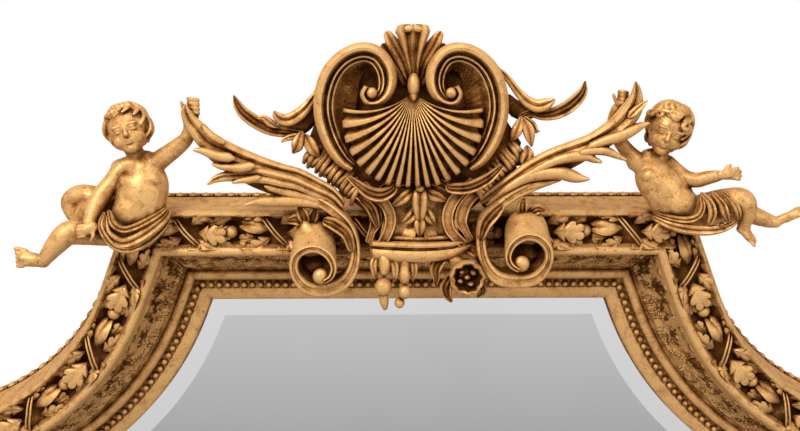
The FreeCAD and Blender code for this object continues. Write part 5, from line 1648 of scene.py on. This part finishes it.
DRAPERY_RIGHT = [
    ([(300, 124, 1782, 3), (315, 137, 1775, 5), (334, 144, 1771, 6.5), (355, 150, 1770, 6.5),
      (371, 157, 1773, 5.5), (384, 160, 1779, 4), (394, 158, 1788, 2)], 0.8),
    ([(303, 124, 1787, 3), (319, 138, 1783, 4), (336, 145, 1782, 4.5), (347, 150, 1788, 4), (351, 152, 1799, 3.5),
      (350, 146, 1811, 2)], 0.9),
    ([(351, 146, 1814, 3), (359, 154, 1804, 5), (361, 159, 1792, 5.5), (359, 157, 1781, 4)], 0.9),
    ([(363, 151, 1815, 3), (371, 160, 1804, 5), (374, 165, 1793, 5), (378, 163, 1783, 3)], 0.9),
    ([(374, 158, 1816, 3), (383, 165, 1806, 4.5), (388, 168, 1795, 4), (390, 164, 1786, 2)], 0.9),
]


# ---- mirror plate ----
def outline(inset):
    """Closed outline (x, z) of the frame at an inset, from the top middle round to the right."""
    right = []
    for run, points in (("shoulder", 28), ("stile", 6)):
        right += run_points(run, inset, points)[:-1]
    right.append(run_points("stile", inset, 2)[1])
    left = [(-x, z) for x, z in reversed(right)]
    return right + left


def glass_form():
    form = Form()
    edge = GLASS_FRONT - BEVEL_DROP
    profile = ((GLASS_INSET, GLASS_BACK), (GLASS_INSET, edge), (SIGHT_EDGE, edge),
               (SIGHT_EDGE + BEVEL_WIDTH, GLASS_FRONT))
    rings = [[(x, depth, z) for x, z in outline(inset)] for inset, depth in profile]
    tube(form, rings)
    # the bevel faces take the paler bevel finish, a painted reflection
    form.tints[-len(rings[0]):] = [1] * len(rings[0])
    return form


# ================= operators =================
class MIRROR_OT_cornice(bpy.types.Operator):
    """Egg edge, cove and lip, in six mitred lengths"""

    bl_idname = "mirror.cornice"
    bl_label = "Cornice"

    def execute(self, context):
        each_run("cornice", cornice, finish="gilt_figure")
        return {"FINISHED"}


class MIRROR_OT_carcass(bpy.types.Operator):
    """Dark hollow and rounded fillet, in six mitred lengths"""

    bl_idname = "mirror.carcass"
    bl_label = "Carcass"

    def execute(self, context):
        each_run("carcass", carcass)
        return {"FINISHED"}


class MIRROR_OT_sight(bpy.types.Operator):
    """Frieze, half round, beads and sight edge, in six mitred lengths"""

    bl_idname = "mirror.sight"
    bl_label = "Sight moulding"

    def execute(self, context):
        each_run("sight_moulding", sight, angle=62)
        return {"FINISHED"}


class MIRROR_OT_garland(bpy.types.Operator):
    """Oak leaves, acorns and crossed stems in the hollow"""

    bl_idname = "mirror.garland"
    bl_label = "Garland"

    def execute(self, context):
        each_run("garland", garland)
        return {"FINISHED"}


class MIRROR_OT_shell(bpy.types.Operator):
    """Ribbed shell between the scrolls"""

    bl_idname = "mirror.shell"
    bl_label = "Shell"

    def execute(self, context):
        piece("shell", shell_form(), angle=70)
        return {"FINISHED"}


class MIRROR_OT_c_scrolls(bpy.types.Operator):
    """The two large scrolls of the crest"""

    bl_idname = "mirror.c_scrolls"
    bl_label = "C-scrolls"

    def execute(self, context):
        form = c_scroll_form()
        piece("c_scroll_right", form)
        piece("c_scroll_left", mirrored_form(form))
        return {"FINISHED"}


class MIRROR_OT_finial(bpy.types.Operator):
    """Palmette bud on top of the crest"""

    bl_idname = "mirror.finial"
    bl_label = "Finial"

    def execute(self, context):
        piece("palmette_finial", finial_form())
        return {"FINISHED"}


class MIRROR_OT_tendrils(bpy.types.Operator):
    """Leaves that curl out from the scrolls"""

    bl_idname = "mirror.tendrils"
    bl_label = "Tendrils"

    def execute(self, context):
        piece("tendril_left", tendril_form(TENDRIL_LEFT, TENDRIL_GROUND_LEFT))
        piece("tendril_right", tendril_form(TENDRIL_RIGHT, TENDRIL_GROUND_RIGHT))
        return {"FINISHED"}


class MIRROR_OT_sprays(bpy.types.Operator):
    """Acanthus sprays that rise to the figures"""

    bl_idname = "mirror.sprays"
    bl_label = "Acanthus sprays"

    def execute(self, context):
        piece("acanthus_spray_left", spray_form(SPRAY_LEFT, SPRAY_GROUND_LEFT))
        piece("acanthus_spray_right", spray_form(SPRAY_RIGHT, SPRAY_GROUND_RIGHT))
        return {"FINISHED"}


class MIRROR_OT_volutes(bpy.types.Operator):
    """Rolled scroll feet of the crest"""

    bl_idname = "mirror.volutes"
    bl_label = "Volutes"

    def execute(self, context):
        for name, values in VOLUTES.items():
            piece(name, volute_form(*values))
        return {"FINISHED"}


class MIRROR_OT_husks(bpy.types.Operator):
    """Small petals that hang under the tendrils"""

    bl_idname = "mirror.husks"
    bl_label = "Husks"

    def execute(self, context):
        piece("husks_left", bands(Form(), HUSKS_LEFT, LEAF, 6, 1.0, tip=0.7))
        piece("husks_right", bands(Form(), HUSKS_RIGHT, LEAF, 6, 1.0, tip=0.7))
        return {"FINISHED"}


class MIRROR_OT_centre(bpy.types.Operator):
    """Ground, cartouche, side scrolls, bellflower, shelf, buds and rose"""

    bl_idname = "mirror.centre"
    bl_label = "Centre of the crest"

    def execute(self, context):
        piece("crest_backing", backing_form())
        piece("cartouche", cartouche_form())
        piece("side_scrolls", side_scrolls_form())
        piece("bellflower", bellflower_form())
        piece("crest_shelf", shelf_form())
        piece("pendant_buds", buds_form())
        piece("rose", rose_form())
        return {"FINISHED"}


class MIRROR_OT_figures(bpy.types.Operator):
    """The two seated child figures, with head and drapery"""

    bl_idname = "mirror.figures"
    bl_label = "Figures"

    def execute(self, context):
        for name, body, hands_and_feet in (("cherub_left", LEFT_BODY, left_hands_and_feet),
                                           ("cherub_right", RIGHT_BODY, right_hands_and_feet)):
            done(figure_object(name + "_carved", body, hands_and_feet), name, "gilt_figure", angle=60)
        for name, values in HEADS.items():
            done(head_object(name + "_carved", *values), name, "gilt_figure", angle=60)
        piece("cherub_left_drapery", drapery_form(DRAPERY_LEFT), finish="gilt_figure", angle=60)
        cloth = drapery_form(DRAPERY_RIGHT)
        # a small ball between the folds, painted dark as shade
        ball(cloth, (371, 162, 1779), (3.4, 5, 3.4), 12, 8, tint=1)
        piece("cherub_right_drapery", cloth, finish="gilt_figure", angle=60)
        return {"FINISHED"}


class MIRROR_OT_plate(bpy.types.Operator):
    """Bevelled mirror plate"""

    bl_idname = "mirror.plate"
    bl_label = "Mirror plate"

    def execute(self, context):
        piece("mirror_glass", glass_form(), finish="mirror_plate", slot="mirror_plate", angle=0.5,
              second="mirror_bevel")
        return {"FINISHED"}


CARRIED = {
    "backboard_left": "pine", "backboard_right": "pine", "back_battens": "pine", "glass_blocks": "pine",
    "crest_bracket": "iron", "wood_screws": "iron",
    "hanger_strap_left": "brass", "hanger_strap_right": "brass",
    "hanger_ring_left": "brass", "hanger_ring_right": "brass",
}


class MIRROR_OT_carried(bpy.types.Operator):
    """Finishes of the back and its fittings"""

    bl_idname = "mirror.carried"
    bl_label = "Back and fittings"

    def execute(self, context):
        for name, slot in CARRIED.items():
            made = frame["nodes"][name]
            made.data.materials.clear()
            made.data.materials.append(finish_named(slot))
        for name, made in frame["nodes"].items():
            if name not in CARRIED and not made.hide_render:
                made.data.materials.clear()
                made.data.materials.append(finish_named("gilt_wood"))
        return {"FINISHED"}


CAMERA_PLACE = (-0.030, -1.255, 1.953125)
CAMERA_TARGET = (-0.013125, -0.105, 1.7825)
CAMERA_LENS = 41.858
SENSOR_WIDTH = 36
# lamps: name, place, size in metres, power in watts
LAMPS = (("key", (-1.2, -1.9, 3.4), 0.7, 37), ("fill", (1.8, -2.2, 2.4), 1.6, 12),
         ("top", (-0.2, -0.75, 3.3), 1.2, 11))
LAMP_TARGET = (0, -0.1, 1.75)
SOFT_LIGHT = 0.38
FLOOR_SIZE = 3
FLOOR_PLACE = (0, -0.4, -0.03)


def look(thing, place, target):
    thing.location = place
    thing.rotation_euler = (Vector(target) - Vector(place)).to_track_quat("-Z", "Y").to_euler()


class MIRROR_OT_stage(bpy.types.Operator):
    """Floor, white surroundings, lamps and camera"""

    bl_idname = "mirror.stage"
    bl_label = "Stage"

    def execute(self, context):
        bpy.ops.object.select_all(action="DESELECT")
        bpy.ops.mesh.primitive_plane_add(size=FLOOR_SIZE, location=FLOOR_PLACE)
        floor = context.active_object
        floor.name = "stage_floor"
        material, tree, shader = start_material("floor")
        mottle = add_mottle(tree, 0.5, 0.01, 0.05)
        colour = tuple(context.scene.mirror_colours.floor)
        tone = ramp(tree, mottle.outputs["Clouds"], [(0.3, tuple(c * 0.97 for c in colour)), (0.7, colour)])
        tree.links.new(tone, shader.inputs["Base Color"])
        shader.inputs["Roughness"].default_value = 0.7
        floor.data.materials.append(material)

        world = bpy.data.worlds.new("world")
        context.scene.world = world
        world.use_nodes = True
        tree = world.node_tree
        tree.nodes.clear()
        path = node(tree, "ShaderNodeLightPath", (-800, 0))
        seen = node(tree, "ShaderNodeMath", (-500, 0), operation="MAXIMUM")
        tree.links.new(path.outputs["Is Camera Ray"], seen.inputs[0])
        tree.links.new(path.outputs["Is Glossy Ray"], seen.inputs[1])
        clear = node(tree, "ShaderNodeMath", (-300, 0), operation="MAXIMUM")
        tree.links.new(seen.outputs[0], clear.inputs[0])
        tree.links.new(path.outputs["Is Transmission Ray"], clear.inputs[1])
        soft = node(tree, "ShaderNodeBackground", (-300, 200))
        soft.inputs["Strength"].default_value = SOFT_LIGHT
        white = node(tree, "ShaderNodeBackground", (-300, -200))
        white.inputs["Color"].default_value = (1, 1, 1, 1)
        white.inputs["Strength"].default_value = 1.0
        choose = node(tree, "ShaderNodeMixShader", (0, 0))
        tree.links.new(clear.outputs[0], choose.inputs[0])
        tree.links.new(soft.outputs[0], choose.inputs[1])
        tree.links.new(white.outputs[0], choose.inputs[2])
        end = node(tree, "ShaderNodeOutputWorld", (200, 0))
        tree.links.new(choose.outputs[0], end.inputs[0])

        for name, place, size, power in LAMPS:
            lamp = bpy.data.lights.new(name, "AREA")
            lamp.size = size
            lamp.energy = power
            made = bpy.data.objects.new(name, lamp)
            look(made, place, LAMP_TARGET)
            context.scene.collection.objects.link(made)

        camera = bpy.data.cameras.new("camera")
        camera.lens = CAMERA_LENS
        camera.sensor_width = SENSOR_WIDTH
        made = bpy.data.objects.new("camera", camera)
        look(made, CAMERA_PLACE, CAMERA_TARGET)
        context.scene.collection.objects.link(made)
        context.scene.camera = made
        context.scene.view_settings.view_transform = "Standard"
        return {"FINISHED"}


OPERATORS = (
    MIRROR_OT_cornice, MIRROR_OT_carcass, MIRROR_OT_sight, MIRROR_OT_garland, MIRROR_OT_shell, MIRROR_OT_c_scrolls,
    MIRROR_OT_finial, MIRROR_OT_tendrils, MIRROR_OT_sprays, MIRROR_OT_volutes, MIRROR_OT_husks, MIRROR_OT_centre,
    MIRROR_OT_figures, MIRROR_OT_plate, MIRROR_OT_carried, MIRROR_OT_stage,
)


class MIRROR_PT_panel(bpy.types.Panel):
    """Lists the pieces of the mirror"""

    bl_label = "Trumeau mirror"
    bl_idname = "MIRROR_PT_panel"
    bl_space_type = "VIEW_3D"
    bl_region_type = "UI"
    bl_category = "Mirror"

    def draw(self, context):
        for group in (context.scene.mirror_sizes, context.scene.mirror_colours):
            for name in group.__annotations__:
                self.layout.prop(group, name)
        for operator in OPERATORS:
            self.layout.operator(operator.bl_idname)


CLASSES = (MirrorSizes, MirrorColours) + OPERATORS + (MIRROR_PT_panel,)


def register():
    for cls in CLASSES:
        bpy.utils.register_class(cls)
    bpy.types.Scene.mirror_sizes = bpy.props.PointerProperty(type=MirrorSizes)
    bpy.types.Scene.mirror_colours = bpy.props.PointerProperty(type=MirrorColours)


def unregister():
    del bpy.types.Scene.mirror_sizes
    del bpy.types.Scene.mirror_colours
    for cls in reversed(CLASSES):
        bpy.utils.unregister_class(cls)


def main():
    register()
    bpy.ops.mirror.cornice()
    bpy.ops.mirror.carcass()
    bpy.ops.mirror.sight()
    bpy.ops.mirror.garland()
    bpy.ops.mirror.shell()
    bpy.ops.mirror.c_scrolls()
    bpy.ops.mirror.finial()
    bpy.ops.mirror.tendrils()
    bpy.ops.mirror.sprays()
    bpy.ops.mirror.volutes()
    bpy.ops.mirror.husks()
    bpy.ops.mirror.centre()
    bpy.ops.mirror.figures()
    bpy.ops.mirror.plate()
    bpy.ops.mirror.carried()
    bpy.ops.mirror.stage()


if __name__ == "__main__":
    main()
